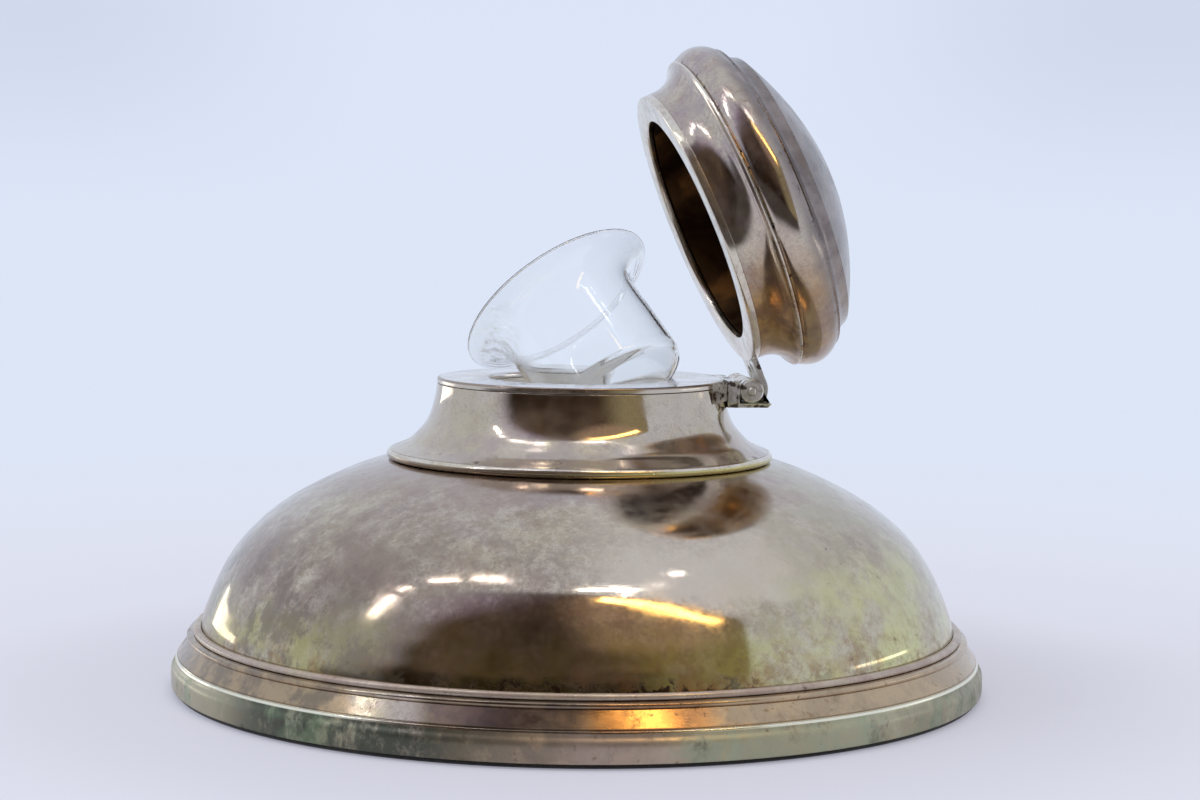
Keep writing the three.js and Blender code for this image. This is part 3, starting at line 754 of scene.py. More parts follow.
def bright_finish(name, finishes, warm=0.3, smooth=0.12, dull=0.24, edge=None, silver=None):
    """Silver rubbed bright, with a little dirt, and browner outside the radius edge."""
    t = SilverTree(name, finishes, size=160.0, warm=warm, green=0.2, smooth=smooth, dull=dull,
                   silver=silver or finishes.bright_silver)
    t.dirt(t.specks(650.0, 0.5, 0.3))
    if edge:
        line = t.span(t.height, MOUTH_Z - 0.00045, MOUTH_Z - 0.0003)
        brown = t.mix(line, finishes.silver, (0.34, 0.26, 0.20))
        t.coat("Edge", t.span(t.radius, edge - 0.0002, edge + 0.0002, 0.0, 0.95), brown)
    return t.done(dents=0.1)


def hinge_finish(finishes):
    """The hinge: bright knuckles, yellow-green and gold stains, dirt in every corner."""
    t = SilverTree("Hinge silver", finishes, size=300.0, warm=0.15, green=0.35,
                   smooth=0.05, dull=0.13, silver=(0.92, 0.90, 0.86))
    cloud = t.noise(420.0, 5.0, 0.7)
    t.coat("Fawn", t.span(cloud, 0.48, 0.60, 0.0, 0.6), (0.45, 0.40, 0.30))
    low = t.span(t.height, HINGE_Z - 0.0016, HINGE_Z - 0.0022)
    out = t.across(HINGE_X + 0.0018, HINGE_X + 0.0024)
    stain = t.mix(t.cloud(980.0, 0.46, 0.56, detail=4.0, roughness=0.6),
                  (0.90, 0.87, 0.56), (0.40, 0.36, 0.12))
    t.coat("Stain", t.times(t.most(low, out), 0.75, t.span(cloud, 0.36, 0.50)), stain)
    web = t.across(HINGE_X - 0.0024, HINGE_X - 0.0019, 0.6, 0.0)
    corners = t.more(t.most(web, t.times(low, 0.35)), 0.4)
    t.dirt(t.specks(640.0, 0.6, corners),
           t.cloud(520.0, 0.58, 0.62, 0.0, 0.95, detail=2.0, roughness=0.55))
    t.film = t.more(t.film, 0.5)
    return t.done()


def bead_finish(finishes):
    """The bead: dull brown, with a pinkish sheen."""
    t = SilverTree("Bead silver", finishes, size=90.0, warm=0.7, green=0.3,
                   smooth=0.20, dull=0.34)
    t.coat("Brown", t.cloud(170.0, 0.40, 0.60, 0.3, 0.8), (0.42, 0.33, 0.27))
    t.dirt(t.specks(330.0, 0.4, 0.7))
    t.film = t.more(t.film, 0.4)
    return t.done(dents=0.05)


def well_finish(finishes):
    """The inside of the mouth: pale dull silver, stained towards the bottom."""
    high = WELL_BOX[1].z
    t = SilverTree("Well silver", finishes, size=120.0, warm=0.12, green=0.12,
                   smooth=0.40, dull=0.55, silver=(0.90, 0.91, 0.92))
    wavy = t.more(t.height, t.noise(140.0, 6.0, 0.7), 0.006)
    t.coat("Stain", t.span(wavy, high - 0.018, high - 0.008, 0.5, 0.0), (0.50, 0.44, 0.36))
    t.film = t.more(t.film, 0.9)
    return t.done()


def lining_finish(finishes):
    """The stained inside of the lid: dark brown with amber where it thins."""
    t = FinishTree("Lid lining")
    cloud = t.noise(60.0, 6.0, 0.65, 0.7)
    brown = t.mix(t.span(cloud, 0.36, 0.66), (0.035, 0.012, 0.004), finishes.lining)
    amber = t.cloud(110.0, 0.58, 0.74, detail=4.0, roughness=0.55)
    return t.surface({
        "Metallic": 0.85, "Base Color": t.mix(amber, brown, (0.30, 0.13, 0.035)),
        "Roughness": t.span(cloud, 0.3, 0.7, 0.32, 0.6),
    }, (t.part("Wear marks")["Dents"], 0.0006, 0.4), (t.noise(700.0, 4.0, 0.6), 0.00004, 0.4))


def glass_finish():
    """Clear blown glass with a dried ink residue near one side of the flange."""
    t = FinishTree("Clear glass")
    x, y, z = t.axes()
    residue = t.times(
        t.cloud(300.0, 0.46, 0.66, detail=7.0, roughness=0.75, place=t.mapped((1.6, 1.6, 0.5))),
        t.span(t.more(t.times(y, 0.66), x, 0.75), 0.0075, 0.0120, 0.0, 0.8),
        t.times(t.span(z, -0.0085, -0.0055), t.span(z, -0.0005, -0.0012)),
    )
    fleck = t.part("Specks", Size=700.0, Amount=0.12)["Mask"]
    film = t.most(residue, t.times(fleck, 0.4))
    return t.surface({
        "Transmission Weight": 0.98, "IOR": 1.38,
        "Base Color": t.mix(film, (0.99, 1.0, 1.0), (0.80, 0.77, 0.69)),
        "Roughness": t.more(0.006, film, 0.5),
    }, (t.noise(110.0, 2.0, 0.4), 0.0003, 0.12), (film, 0.00005, 0.3))


def baize_finish():
    """Black baize, browner where it is worn."""
    t = FinishTree("Baize")
    nap = t.noise(2600.0, 4.0, 0.7)
    black = t.mix(t.span(nap, 0.35, 0.7), (0.010, 0.009, 0.009), (0.035, 0.030, 0.028))
    worn = t.cloud(60.0, 0.55, 0.75, 0.0, 0.6, detail=5.0, roughness=0.6)
    return t.surface({
        "Base Color": t.mix(worn, black, (0.07, 0.058, 0.046)),
        "Roughness": t.span(nap, 0.2, 0.8, 0.88, 1.0), "Sheen Weight": 0.25,
    }, (nap, 0.0003, 0.6))


def grain_finish(name, dark, light, stretch, scale, rough):
    """A hidden solid's plain finish: streaks for wood, clouds for plaster."""
    t = FinishTree(name, own=False)
    grain = t.noise(scale, 6.0, 0.65, 0.8, t.mapped(stretch))
    return t.surface({
        "Base Color": t.mix(t.span(grain, 0.35, 0.65), dark, light),
        "Roughness": t.span(grain, 0.2, 0.8, rough, rough + 0.12),
    }, (grain, 0.0002, 0.4))


def floor_finish(finishes):
    """The pale floor. Far out it has the room's own tone; near the object it keeps the real shadow and
    adds a painted shadow, a darker tone in what it gives off;
    and shiny pieces see it end where the unlit side of the room begins."""
    t = FinishTree("Pale floor", own=False)
    mottle = t.span(t.noise(9.0, 3.0, 0.5), 0.3, 0.7, 0.0, 0.06)
    t.surface({"Base Color": t.mix(mottle, finishes.floor_tone, (0.62, 0.64, 0.74)),
               "Roughness": 0.7, "Specular IOR Level": 0.2})
    far = t.vector("LENGTH", t.place)
    # Darker near the object: a painted shadow in the floor's glow, over the real shadow that its lit
    # share keeps.
    glow = t.mix(t.span(far, 0.080, 0.125), (0.63, 0.635, 0.75), (0.74, 0.77, 0.89))
    glow = t.mix(t.span(far, 0.12, 0.5), glow, finishes.backdrop)
    path = t.add("ShaderNodeLightPath").outputs
    camera, glossy, clear = (path[f"Is {ray} Ray"] for ray in ("Camera", "Glossy", "Transmission"))
    share = t.times(t.span(far, 0.085, 0.26, 0.45, 1.0), t.most(camera, glossy, clear))
    floor = t.joined(share, t.shader.outputs["BSDF"],
                     t.add("ShaderNodeEmission", {"Color": glow}).outputs[0])

    t.place = t.mapped(rotation=(0.0, 0.0, CAMERA_TURN))
    unlit = t.times(glossy, t.less(clear))
    for facing, start, soft in (((-0.447, -0.894, 0.0), 0.140, 0.10),
                                ((-0.697, -0.717, 0.0), -0.03, 0.11),
                                ((0.105, -0.994, 0.0), 0.02, 0.05)):
        unlit = t.times(unlit, t.toward(facing, start, start + soft))
    dim = t.add("ShaderNodeEmission", {"Color": (0.045, 0.030, 0.020)}).outputs[0]
    t.feed(t.end.inputs["Surface"], t.joined(t.times(unlit, 0.95), floor, dim))
    return t.material


# Operators


class INKWELL_OT_foot(bpy.types.Operator):
    """Builds the foot: its moulding, the bead on it and the baize pad below"""

    bl_idname = "inkwell.foot"
    bl_label = "Foot"

    def execute(self, context):
        sizes, finishes = context.scene.inkwell_base, context.scene.inkwell_finishes
        radius, low, high = FOOT_BOX[1].x - 0.1 * TENTH, FOOT_BOX[0].z, FOOT_BOX[1].z
        arris = radius - sizes.arris_setback
        arris_z = low + sizes.band_height - TENTH
        step = arris - sizes.step_depth
        soft = 2.5 * TENTH
        fillet = sizes.fillet
        fillet_r, fillet_z = radius - sizes.shoulder_setback - TENTH, high - fillet
        inner = radius - sizes.foot_wall
        outline = [
            (inner, low), *offsets(radius, low, (-3, 0), (-0.9, 0.9), (0, 3)),
            *run_of([*offsets(radius, low, (0, 4), (-0.6, 30)),
                     *offsets(arris, arris_z, (2, -9), (0.3, -3))], 5),
            *rounded(arris - soft, arris_z - soft, soft, soft, range(0, 91, 15)),
            *offsets(step, arris_z, (-0.4, 0), (-1, 1.2)),
            *between((step - 0.4 * TENTH, arris_z + 2.4 * TENTH),
                     (fillet_r + fillet * 0.35, fillet_z - fillet * 0.8),
                     [(k / 4, k / 4) for k in range(5)]),
            *rounded(fillet_r, fillet_z, fillet, fillet, range(-55, 78, 12)),
            (BEAD_BOX[1].x - 2 * TENTH, high + 1.8 * TENTH), (inner, high + 1.8 * TENTH),
        ]
        piece("foot", spun(outline, sizes.ring_steps), foot_finish(finishes), "foot_moulding",
              round_edge=0.6)

        bead_low, bead_high = BEAD_BOX[0].z, BEAD_BOX[1].z
        bead_in = DOME_BOX[1].x + TENTH
        width, tall = BEAD_BOX[1].x - bead_in, bead_high - bead_low
        bead = [(bead_in, bead_low),
                *rounded(bead_in + 0.5 * width, bead_low + 0.36 * tall, 0.5 * width, 0.64 * tall,
                         range(-20, 91, 10)),
                (bead_in, bead_high - TENTH)]
        piece("bead", spun(bead, sizes.ring_steps), bead_finish(finishes), "foot_bead")

        pad_radius, pad_high = PAD_BOX[1].x, PAD_BOX[1].z
        pad = [(0, 0), *offsets(pad_radius, 0, (-2, 0), (0, 2)),
               *offsets(pad_radius, pad_high, (0, -2), (-1, 0)), (0, pad_high)]
        piece("pad", spun(pad, steps=120), baize_finish(), "base_pad", slot="baize")
        return {"FINISHED"}


class INKWELL_OT_dome(bpy.types.Operator):
    """Builds the domed body"""

    bl_idname = "inkwell.dome"
    bl_label = "Domed body"

    def execute(self, context):
        sizes, finishes = context.scene.inkwell_base, context.scene.inkwell_finishes
        radius, low, high = DOME_BOX[1].x, DOME_BOX[0].z, DOME_BOX[1].z
        seat = LIP_BOX[1].x + 2 * TENTH
        opening = sizes.plate_hole + sizes.well_wall + 3 * TENTH
        under = high - sizes.sheet
        shares = ((0, 0), (0, 0.034), (0.012, 0.1), (0.036, 0.17), (0.075, 0.27), (0.14, 0.405),
                  (0.232, 0.54), (0.368, 0.675), (0.548, 0.80), (0.795, 0.925), (1, 1))
        outer = run_of(between((radius, low), (seat, high), shares), 8)
        inner = run_of(between((radius - sizes.sheet, low), (seat, under), shares), 2)
        outline = [*outer, (opening, high), (opening, under), *reversed(inner)]
        piece("dome", spun(outline, sizes.ring_steps), dome_finish(finishes), "dome_shell")
        return {"FINISHED"}


class INKWELL_OT_collar(bpy.types.Operator):
    """Builds the collar with the wire below it, the mouth plate and the well"""

    bl_idname = "inkwell.collar"
    bl_label = "Collar and well"

    def execute(self, context):
        sizes, finishes = context.scene.inkwell_base, context.scene.inkwell_finishes
        steps = sizes.ring_steps
        lip_radius, low, high = LIP_BOX[1].x, LIP_BOX[0].z, LIP_BOX[1].z
        lip_in = lip_radius - sizes.lip_width
        half = (high - low) / 2
        lip = [(lip_in, low), *rounded(lip_radius - half, low + half, half, half, range(-80, 81, 10)),
               (lip_in, high)]
        piece("collar_wire", spun(lip, steps), lip_finish(finishes), "collar_lip")

        low, high = COLLAR_BOX[0].z, COLLAR_BOX[1].z
        shares = ((0, 0), (0.2, 0.055), (0.41, 0.13), (0.565, 0.235), (0.735, 0.375),
                  (0.86, 0.55), (0.95, 0.78), (1, 1))
        outer = run_of(between((COLLAR_BOX[1].x, low), (MOUTH_RADIUS, high), shares), 7)
        inner = run_of(between((lip_in, low), (MOUTH_RADIUS - sizes.sheet, high),
                               shares[0:1] + shares[3:]), 2)
        piece("waisted_collar", spun([*outer, *reversed(inner)], steps), collar_finish(finishes),
              "collar", round_edge=0.8)

        plate_low, hole = PLATE_BOX[0].z, sizes.plate_hole
        plate = [(hole, plate_low), (MOUTH_RADIUS, plate_low),
                 *run_of(offsets(MOUTH_RADIUS, MOUTH_Z, (0, -5), (-1.2, -1.2), (-5, 0)), 4),
                 *run_of(offsets(hole, MOUTH_Z, (4, 0), (1, -1), (0, -4)), 4)]
        mouth_silver = bright_finish("Mouth silver", finishes, warm=0.15, smooth=0.16, dull=0.26,
                                     edge=MOUTH_RADIUS - 5 * TENTH, silver=(0.88, 0.85, 0.83))
        piece("mouth_plate_top", spun(plate, steps), mouth_silver, "mouth_plate",
              slot="worn_silver", round_edge=0.5)

        low, high, outside = WELL_BOX[0].z, WELL_BOX[1].z, WELL_BOX[1].x
        inside, floor = outside - sizes.well_wall, low + sizes.well_wall
        well = [(0, low), *offsets(outside, low, (-10, 0), (0, 10)), (outside, high), (inside, high),
                *run_of([*offsets(inside, low, (0, 22), (-5, 11)), (inside - 16 * TENTH, floor)], 4),
                (0, floor)]
        piece("well", spun(well, steps=96), well_finish(finishes), "well_cup", slot="stained_silver")
        return {"FINISHED"}


def lid_heights(sizes):
    """Heights up the shut lid, from the rim to the top of the hollow band."""
    rim = MOUTH_Z + sizes.gap
    neck = rim + sizes.rim_thickness + sizes.part_gap
    neck_top = rim + sizes.neck_height
    torus = neck_top + sizes.part_gap
    torus_top = torus + sizes.torus_height
    band = torus_top + sizes.part_gap
    return rim, neck, neck_top, torus, torus_top, band, band + sizes.band_height


def lid_open(sizes):
    """Swings the shut lid to where the photograph has it."""
    there = Matrix.Translation((HINGE_X, 0, HINGE_Z))
    return there @ Matrix.Rotation(sizes.swing, 4, "Y") @ there.inverted()


class INKWELL_OT_lid(bpy.types.Operator):
    """Builds the lid: rim, neck, round moulding, band, crown and lining"""

    bl_idname = "inkwell.lid"
    bl_label = "Lid"

    def execute(self, context):
        scene = context.scene
        sizes, finishes = scene.inkwell_lid, scene.inkwell_finishes
        steps, sheet = scene.inkwell_base.ring_steps, scene.inkwell_base.sheet
        swing = lid_open(sizes)
        rim, neck, neck_top, torus, torus_top, band, band_top = lid_heights(sizes)
        radius = sizes.rim_radius
        rim_in = radius - sizes.rim_width
        silver = lid_finish(finishes, neck_top, torus_top)

        def lid_piece(name, outline, node, material=silver, slot="tarnished_silver", soft=0.6):
            piece(name, spun(outline, steps), material, node, body="lid", slot=slot, place=swing,
                  round_edge=soft)

        lid_piece("rim", [
            *run_of(offsets(rim_in, rim, (0, 4), (1, 1), (4, 0)), 3),
            *run_of(offsets(radius, rim, (-5, 0), (-1, 1), (0, 5)), 3),
            (radius, neck), (rim_in, rim + sizes.rim_thickness),
        ], "lid_rim", bright_finish("Rim silver", finishes), "worn_silver")

        flare = radius + sizes.neck_flare
        shares = ((0, 0), (0.03, 0.3), (0.16, 0.55), (0.42, 0.78), (0.72, 0.93), (1, 1))
        outer = run_of(between((radius, neck), (flare, neck_top - 2 * TENTH), shares), 7)
        inner = run_of(between((radius - sheet, neck), (flare - 12 * TENTH, neck_top - sheet),
                               shares), 2)
        lid_piece("neck", [
            *outer, *offsets(flare, neck_top, (1.6, -1), (2, 0.6), (0.6, 2.2)),
            (flare - 2 * TENTH, torus), (radius, torus), *reversed(inner),
        ], "lid_neck")

        bulge = flare + sizes.torus_bulge
        cap_radius = radius + sizes.cap_overhang
        torus_out = cap_radius + sizes.band_step
        lid_piece("round_moulding", [
            (radius, torus),
            *run_of([*offsets(flare, torus, (-2, 0), (5, 7)),
                     *offsets(bulge, torus, (-1.8, 21), (0, 33), (-2, 45), (-8, 58)),
                     (torus_out, torus_top)], 6),
            (torus_out, band), (radius, band),
        ], "lid_torus")

        cap, cap_in = band_top + sizes.part_gap, cap_radius - 2 * sheet
        lid_piece("hollow_band", [
            (cap_in, band), *run_of([*offsets(torus_out, band, (0, 0), (-9, 4), (-19, 11)),
                                     (cap_radius, cap)], 5),
            (cap_in, band_top),
        ], "lid_band")

        reaches = (1, 0.985, 0.95, 0.9, 0.83, 0.74, 0.64, 0.53, 0.42, 0.31, 0.2, 0.1, 0)
        crown = bowl(cap_radius, cap, sizes.cap_rise, reaches)
        under = [(max(r - 2 * sheet, 0), max(z - sheet, cap)) for r, z in crown[::2]]
        lid_piece("crown", [*crown, *reversed(under)], "lid_cap")

        lining = rim_in + sizes.lining_wall
        edge = rim + sizes.lining_depth
        reaches = (1, 0.97, 0.92, 0.82, 0.7, 0.55, 0.4, 0.2, 0)
        back = bowl(lining, edge, sizes.lining_rise, reaches)
        front = bowl(rim_in, edge - sizes.lining_wall, sizes.lining_rise, reaches)
        lid_piece("lining", [(lining, neck), *back, *reversed(front), (rim_in, neck)],
                  "lid_lining", lining_finish(finishes), "stained_silver", soft=0.0)
        return {"FINISHED"}


class INKWELL_OT_hinge(bpy.types.Operator):
    """Builds the hinge: five knuckles on a pin, the collar leaf and the lid strap"""

    bl_idname = "inkwell.hinge"
    bl_label = "Hinge"

    def execute(self, context):
        scene = context.scene
        sizes, finishes = scene.inkwell_hinge, scene.inkwell_finishes
        swing = lid_open(scene.inkwell_lid)
        silver = hinge_finish(finishes)
        long, gap, knuckle = sizes.knuckle_length, sizes.knuckle_gap, sizes.knuckle_radius
        lie = Matrix.Rotation(math.pi / 2, 4, "X")
        tube = rod(sizes.pin_radius + 0.8 * TENTH, knuckle, long / 2, 2.5 * TENTH)
        for number in range(1, 6):
            place = Matrix.Translation((HINGE_X, (number - 3) * (long + gap), HINGE_Z)) @ lie
            on_lid = number in (2, 4)
            piece(f"knuckle_{number}", placed(spun(tube, steps=40), place), silver,
                  f"hinge_knuckle_{number}", body="lid" if on_lid else "base",
                  slot="worn_silver", place=swing if on_lid else None, round_edge=0.6)

        pin = rod(0, sizes.pin_radius, 2.5 * long + 2 * gap + sizes.pin_head, 3 * TENTH)
        place = Matrix.Translation((HINGE_X, 0, HINGE_Z)) @ lie
        piece("pin", placed(spun(pin, steps=32), place), silver, "hinge_pin", slot="stained_silver",
              round_edge=0.4)

        top = MOUTH_Z - TENTH
        inside = MOUTH_RADIUS + TENTH
        wall = MOUTH_RADIUS + sizes.leaf_thickness + TENTH
        leaf = spun([*offsets(wall, top - sizes.leaf_height, (-3, 0), (0, 0)),
                     *offsets(wall, top, (0, -3), (-2, 0)), *offsets(inside, top, (0, 0), (0, -10))],
                    steps=36, angle=2 * sizes.leaf_span, start=-sizes.leaf_span)
        root = MOUTH_RADIUS - 2 * TENTH
        web = HINGE_X - knuckle - TENTH
        shelf = HINGE_Z - knuckle - TENTH
        end = HINGE_X + sizes.shelf_reach
        under = shelf - sizes.leaf_thickness
        slab([(root, under), (end - sizes.leaf_thickness, under), (end, shelf), (web, shelf),
              (web, top), (root, top)], 5 * long + 4 * gap, into=leaf)
        piece("collar_leaf", leaf, silver, "hinge_collar_leaf", slot="worn_silver",
              round_edge=0.9)

        inner = knuckle + sizes.strap_clearance
        outer = inner + sizes.strap_thickness
        start = scene.inkwell_lid.rim_radius - 4 * TENTH
        stop = math.degrees(sizes.strap_end)
        angles = [stop + (90 - stop) * k / 8 for k in range(9)]
        strap = [(start, HINGE_Z + inner),
                 *rounded(HINGE_X, HINGE_Z, inner, inner, reversed(angles)),
                 *rounded(HINGE_X, HINGE_Z, outer + sizes.strap_heel, outer + sizes.strap_heel, [stop]),
                 *rounded(HINGE_X, HINGE_Z, outer, outer, angles), (start, HINGE_Z + outer)]
        piece("lid_strap", slab(strap, sizes.strap_width), silver, "hinge_lid_strap", body="lid",
              slot="worn_silver", place=swing, round_edge=1.2)
        return {"FINISHED"}


class INKWELL_OT_liner(bpy.types.Operator):
    """Builds the glass liner, tipped in the mouth"""

    bl_idname = "inkwell.liner"
    bl_label = "Glass liner"

    def execute(self, context):
        sizes = context.scene.inkwell_liner
        body, edge, corner = sizes.body_radius, sizes.flange_edge, sizes.corner
        half = edge / 2
        flange = body + sizes.flange_width
        flare = -sizes.flare - edge
        inside = body - sizes.wall
        bottom, floor = -sizes.depth, sizes.floor - sizes.depth
        outline = [
            (0, bottom + 5 * TENTH), (body * 0.45, bottom + 4 * TENTH),
            *run_of(offsets(body, bottom, (-1, 0), (-0.35, 0.22), (-0.05, 0.7), (0, 1.2),
                            unit=corner), 6),
            *run_of([*offsets(body, flare, (0, -50), (1.2, -14), (7, 6), (19, 20), (36, 28)),
                     (flange - half, -edge)], 7),
            *rounded(flange - half, -half, half, half, range(-60, 61, 20)),
            *run_of([(flange - half, 0), (body + 33 * TENTH, -7 * TENTH),
                     (inside + 21 * TENTH, -16 * TENTH),
                     *offsets(inside, flare, (8, 10), (1.3, -12), (0, -50))], 7),
            *run_of(offsets(inside, floor, (0, 1.1), (-0.05, 0.6), (-0.35, 0.15), (-1, 0),
                            unit=corner), 6),
            (body * 0.4, floor - TENTH), (0, floor - 2 * TENTH),
        ]
        lean = sizes.lean
        drop = flange * math.sin(lean) + edge * math.cos(lean)
        out = MOUTH_RADIUS - sizes.setback - flange * math.cos(lean)
        place = (Matrix.Rotation(sizes.azimuth, 4, "Z")
                 @ Matrix.Translation((out, 0, MOUTH_Z + sizes.seat + drop))
                 @ Matrix.Rotation(lean, 4, "Y"))
        glass = piece("liner", spun(outline, steps=144), glass_finish(), "glass_liner", body="liner",
                      slot="clear_glass", place=place, crease=60)
        glass.visible_shadow = False
        return {"FINISHED"}


class INKWELL_OT_filling(bpy.types.Operator):
    """Finishes the board and the plaster that weight the foot"""

    bl_idname = "inkwell.filling"
    bl_label = "Board and filling"

    def execute(self, context):
        wood = grain_finish("Board wood", dark=(0.13, 0.07, 0.035), light=(0.30, 0.18, 0.10),
                            stretch=(1.0, 12.0, 4.0), scale=45.0, rough=0.68)
        plaster = grain_finish("Plaster", dark=(0.52, 0.48, 0.42), light=(0.72, 0.69, 0.63),
                               stretch=(1.0, 1.0, 1.0), scale=160.0, rough=0.84)
        for node, material in (("base_board", wood), ("base_filling", plaster)):
            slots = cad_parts[node].data.materials
            slots.clear()
            slots.append(material)
        return {"FINISHED"}


class INKWELL_OT_stage(bpy.types.Operator):
    """Sets the floor, the soft light of the room and the camera"""

    bl_idname = "inkwell.stage"
    bl_label = "Stage"

    def execute(self, context):
        scene = context.scene
        finishes = scene.inkwell_finishes
        bm = bmesh.new()
        bmesh.ops.create_circle(bm, cap_ends=True, cap_tris=False, segments=96, radius=4.0)
        bmesh.ops.translate(bm, verts=bm.verts[:], vec=(0, 0, -2 * TENTH))
        mesh = bpy.data.meshes.new("floor")
        bm.to_mesh(mesh)
        bm.free()
        floor = bpy.data.objects.new("floor", mesh)
        mesh.materials.append(floor_finish(finishes))
        scene.collection.objects.link(floor)

        room_world(scene, finishes)
        lamp(scene, "Overhead softbox", place=(-0.1, 0.15, 1.5), along=(1, 0, 0), size=(1.4, 1.2),
             power=7.0, colour=(1.0, 0.98, 0.96), shiny=False)
        lamp(scene, "Left softbox", place=(-1.3, -0.1, 0.7), along=(0, 1, 0), size=(0.9, 0.9),
             power=3.0, colour=(0.94, 0.97, 1.0), shiny=False)
        tilt = Matrix.Rotation(-CAMERA_TURN, 3, "Z")
        white, gold, cream = (1.0, 0.99, 1.0), (1.0, 0.64, 0.18), (1.0, 0.98, 0.88)
        for name, place, along, size, glow, colour in (
            ("Tube 1", (-1.23, -0.353, 1.03), (0.50, 0.20), (0.36, 0.028), 30.0, white),
            ("Tube 8", (-0.84, -0.196, 1.03), (0.50, 0.20), (0.10, 0.026), 13.0, white),
            ("Tube 2", (-0.545, -0.145, 1.03), (0.13, -0.02), (0.13, 0.035), 14.0, white),
            ("Tube 3", (-0.34, -0.195, 1.03), (0.12, -0.05), (0.13, 0.035), 14.0, white),
            ("Tube 4", (0.125, -0.375, 1.03), (0.19, 0.02), (0.24, 0.035), 14.0, white),
            ("Tube 5", (0.36, -0.09, 1.03), (0.07, 0.05), (0.05, 0.018), 14.0, white),
            ("Tube 6", (0.32, -0.26, 1.03), (0.2, 0.3), (0.04, 0.014), 9.0, white),
            ("Tube 7", (0.215, -0.44, 1.03), (0.0, 1.0), (0.12, 0.010), 12.0, white),
            ("Gold lamp", (0.46, -0.65, 1.03), (0.72, -0.21), (0.75, 0.09), 9.0, gold),
            ("Left window", (-0.76, 0.67, 0.052), (0.67, 0.76), (0.38, 0.10), 2.2, cream),
            ("Right window", (0.98, 0.17, 0.10), (-0.17, 0.98), (0.45, 0.04), 1.8, cream),
        ):
            power = glow * math.pi * size[0] * size[1]
            lamp(scene, name, tilt @ Vector(place), tilt @ Vector((*along, 0)), size, power, colour)

        camera_at(scene)
        return {"FINISHED"}


def room_world(scene, finishes):
    """A pale room. Shiny pieces also see its unlit side, on the side of the camera."""
    world = bpy.data.worlds.new("Pale room")
    scene.world = world
    world.use_nodes = True
    t = NodeTree(world.node_tree)
    t.place = t.add("ShaderNodeTexCoord").outputs["Generated"]
    t.place = t.mapped(rotation=(0.0, 0.0, CAMERA_TURN))
    x, y, z = t.axes()

    right = t.toward((-0.634, -0.726, 0.265), 0.0, 0.025)
    high = t.times(t.toward((-0.152, -0.920, -0.360), 0.0, 0.03), right,
                   t.toward((0.27, -0.963, 0.0), 0.0, 0.36))
    low = t.times(t.toward((0.105, -0.994, 0.0), 0.0, 0.12), right, t.span(z, 0.03, 0.14, 0.85, 0.0))
    gloom = t.mix(t.cloud(3.0, 0.35, 0.65, detail=3.0, roughness=0.5), finishes.room_dark,
                  (0.12, 0.085, 0.065))
    haze = t.times(t.span(x, 0.05, -0.62), t.span(y, -0.56, -0.36, 0.0, 0.9),
                   t.span(z, 0.82, 0.92, 1.0, 0.6))
    for label, share, tint in (
        ("Haze", haze, (0.60, 0.53, 0.80)),
        ("Low dark", t.span(z, 0.05, 0.44, 0.85, 0.0), (0.018, 0.010, 0.005)),
        ("Olive right", t.span(x, 0.20, 0.58), (0.34, 0.30, 0.19)),
        ("Warm patch", t.toward((0.30, -0.54, 0.786), 0.90, 0.98, 0.0, 0.8), (0.50, 0.36, 0.27)),
    ):
        gloom = t.mix(share, gloom, tint, label=label)
    pale = t.mix(t.span(z, 0.0, 1.0), finishes.backdrop, finishes.room_light)
    room = t.mix(t.most(high, low), pale, gloom)

    backdrop = t.mix(t.span(z, -0.05, 0.35), finishes.backdrop, (0.70, 0.77, 0.98))
    # Darker towards the sides, above the floor: painted shade on the backdrop.
    corner = t.times(t.span(t.math("ABSOLUTE", x), 0.07, 0.20), t.span(z, -0.02, 0.06))
    backdrop = t.mix(corner, backdrop, (0.64, 0.70, 0.85))
    seen, shine, soft = (
        t.add("ShaderNodeBackground", {"Color": colour, "Strength": strength}).outputs[0]
        for colour, strength in ((backdrop, 1.0), (room, 1.0), ((0.74, 0.78, 0.86), 0.72))
    )
    path = t.add("ShaderNodeLightPath").outputs
    light = t.joined(path["Is Glossy Ray"], soft, shine)
    light = t.joined(path["Is Transmission Ray"], light, seen)
    light = t.joined(path["Is Camera Ray"], light, seen)
    t.add("ShaderNodeOutputWorld", {"Surface": light})


def lamp(scene, name, place, along, size, power, colour, shiny=True):
    """A soft rectangular lamp, aimed at the object, with its length along a direction."""
    data = bpy.data.lights.new(name, "AREA")
    data.shape = "RECTANGLE"
    data.size, data.size_y = size
    data.energy = power
    data.color = colour
    made = bpy.data.objects.new(name, data)
    back = (Vector(place) - AIM).normalized()
    side = (Vector(along) - back * back.dot(Vector(along))).normalized()
    basis = Matrix((side, back.cross(side), back)).transposed()
    made.matrix_world = Matrix.Translation(place) @ basis.to_4x4()
    made.visible_glossy = shiny
    made.visible_camera = made.visible_transmission = False
    scene.collection.objects.link(made)


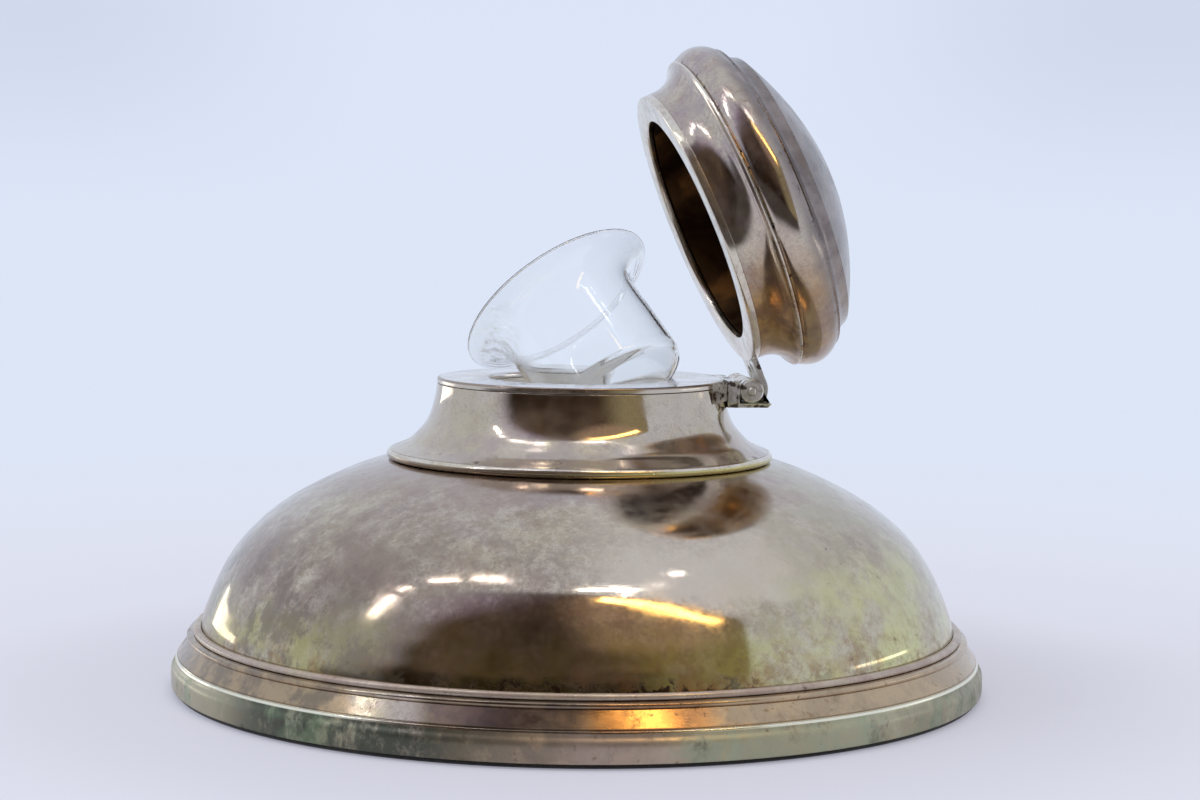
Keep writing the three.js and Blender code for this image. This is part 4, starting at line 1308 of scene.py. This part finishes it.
def camera_at(scene):
    """The camera, level with the lid and a little above the mouth."""
    distance, height = 0.46183, 0.0888
    down, yaw, roll = 0.084, -0.0075, 0.0126
    ahead = Vector((-math.sin(yaw) * math.cos(down), math.cos(yaw) * math.cos(down), -math.sin(down)))
    right = Vector((math.cos(yaw), math.sin(yaw), 0))
    right = right * math.cos(roll) + right.cross(ahead) * math.sin(roll)
    turned = Matrix.Rotation(-CAMERA_TURN, 3, "Z")
    basis = Matrix([turned @ axis for axis in (right, right.cross(ahead), -ahead)]).transposed()
    data = bpy.data.cameras.new("Camera")
    data.sensor_width = 36.0
    data.lens = 79.18
    data.clip_start, data.clip_end = 0.01, 20.0
    camera = bpy.data.objects.new("Camera", data)
    place = Matrix.Translation(turned @ Vector((0, -distance, height)))
    camera.matrix_world = place @ basis.to_4x4()
    scene.collection.objects.link(camera)
    scene.camera = camera
    scene.view_settings.view_transform = "Standard"


STEPS = (
    INKWELL_OT_foot, INKWELL_OT_dome, INKWELL_OT_collar, INKWELL_OT_filling,
    INKWELL_OT_lid, INKWELL_OT_hinge, INKWELL_OT_liner, INKWELL_OT_stage,
)

PROPERTY_GROUPS = {
    "inkwell_base": InkwellBaseSizes,
    "inkwell_lid": InkwellLidSizes,
    "inkwell_hinge": InkwellHingeSizes,
    "inkwell_liner": InkwellLinerSizes,
    "inkwell_finishes": InkwellFinishes,
}


class INKWELL_PT_panel(bpy.types.Panel):
    """Lists the sizes, the finishes and the steps that build the inkwell"""

    bl_idname = "INKWELL_PT_panel"
    bl_label = "Desk inkwell"
    bl_space_type = "VIEW_3D"
    bl_region_type = "UI"
    bl_category = "Inkwell"

    def draw(self, context):
        layout = self.layout
        for step in STEPS:
            layout.operator(step.bl_idname, text=step.bl_label)
        for key in PROPERTY_GROUPS:
            values = getattr(context.scene, key)
            box = layout.box()
            for name in values.bl_rna.properties.keys():
                if name not in ("rna_type", "name"):
                    box.prop(values, name)


def register():
    for key, kind in PROPERTY_GROUPS.items():
        bpy.utils.register_class(kind)
        setattr(bpy.types.Scene, key, PointerProperty(type=kind))
    for kind in (*STEPS, INKWELL_PT_panel):
        bpy.utils.register_class(kind)


def unregister():
    for kind in (INKWELL_PT_panel, *reversed(STEPS)):
        bpy.utils.unregister_class(kind)
    for key, kind in PROPERTY_GROUPS.items():
        delattr(bpy.types.Scene, key)
        bpy.utils.unregister_class(kind)


def main():
    register()
    for step in STEPS:
        area, name = step.bl_idname.split(".")
        getattr(getattr(bpy.ops, area), name)()
    bpy.context.view_layer.update()


if __name__ == "__main__":
    main()
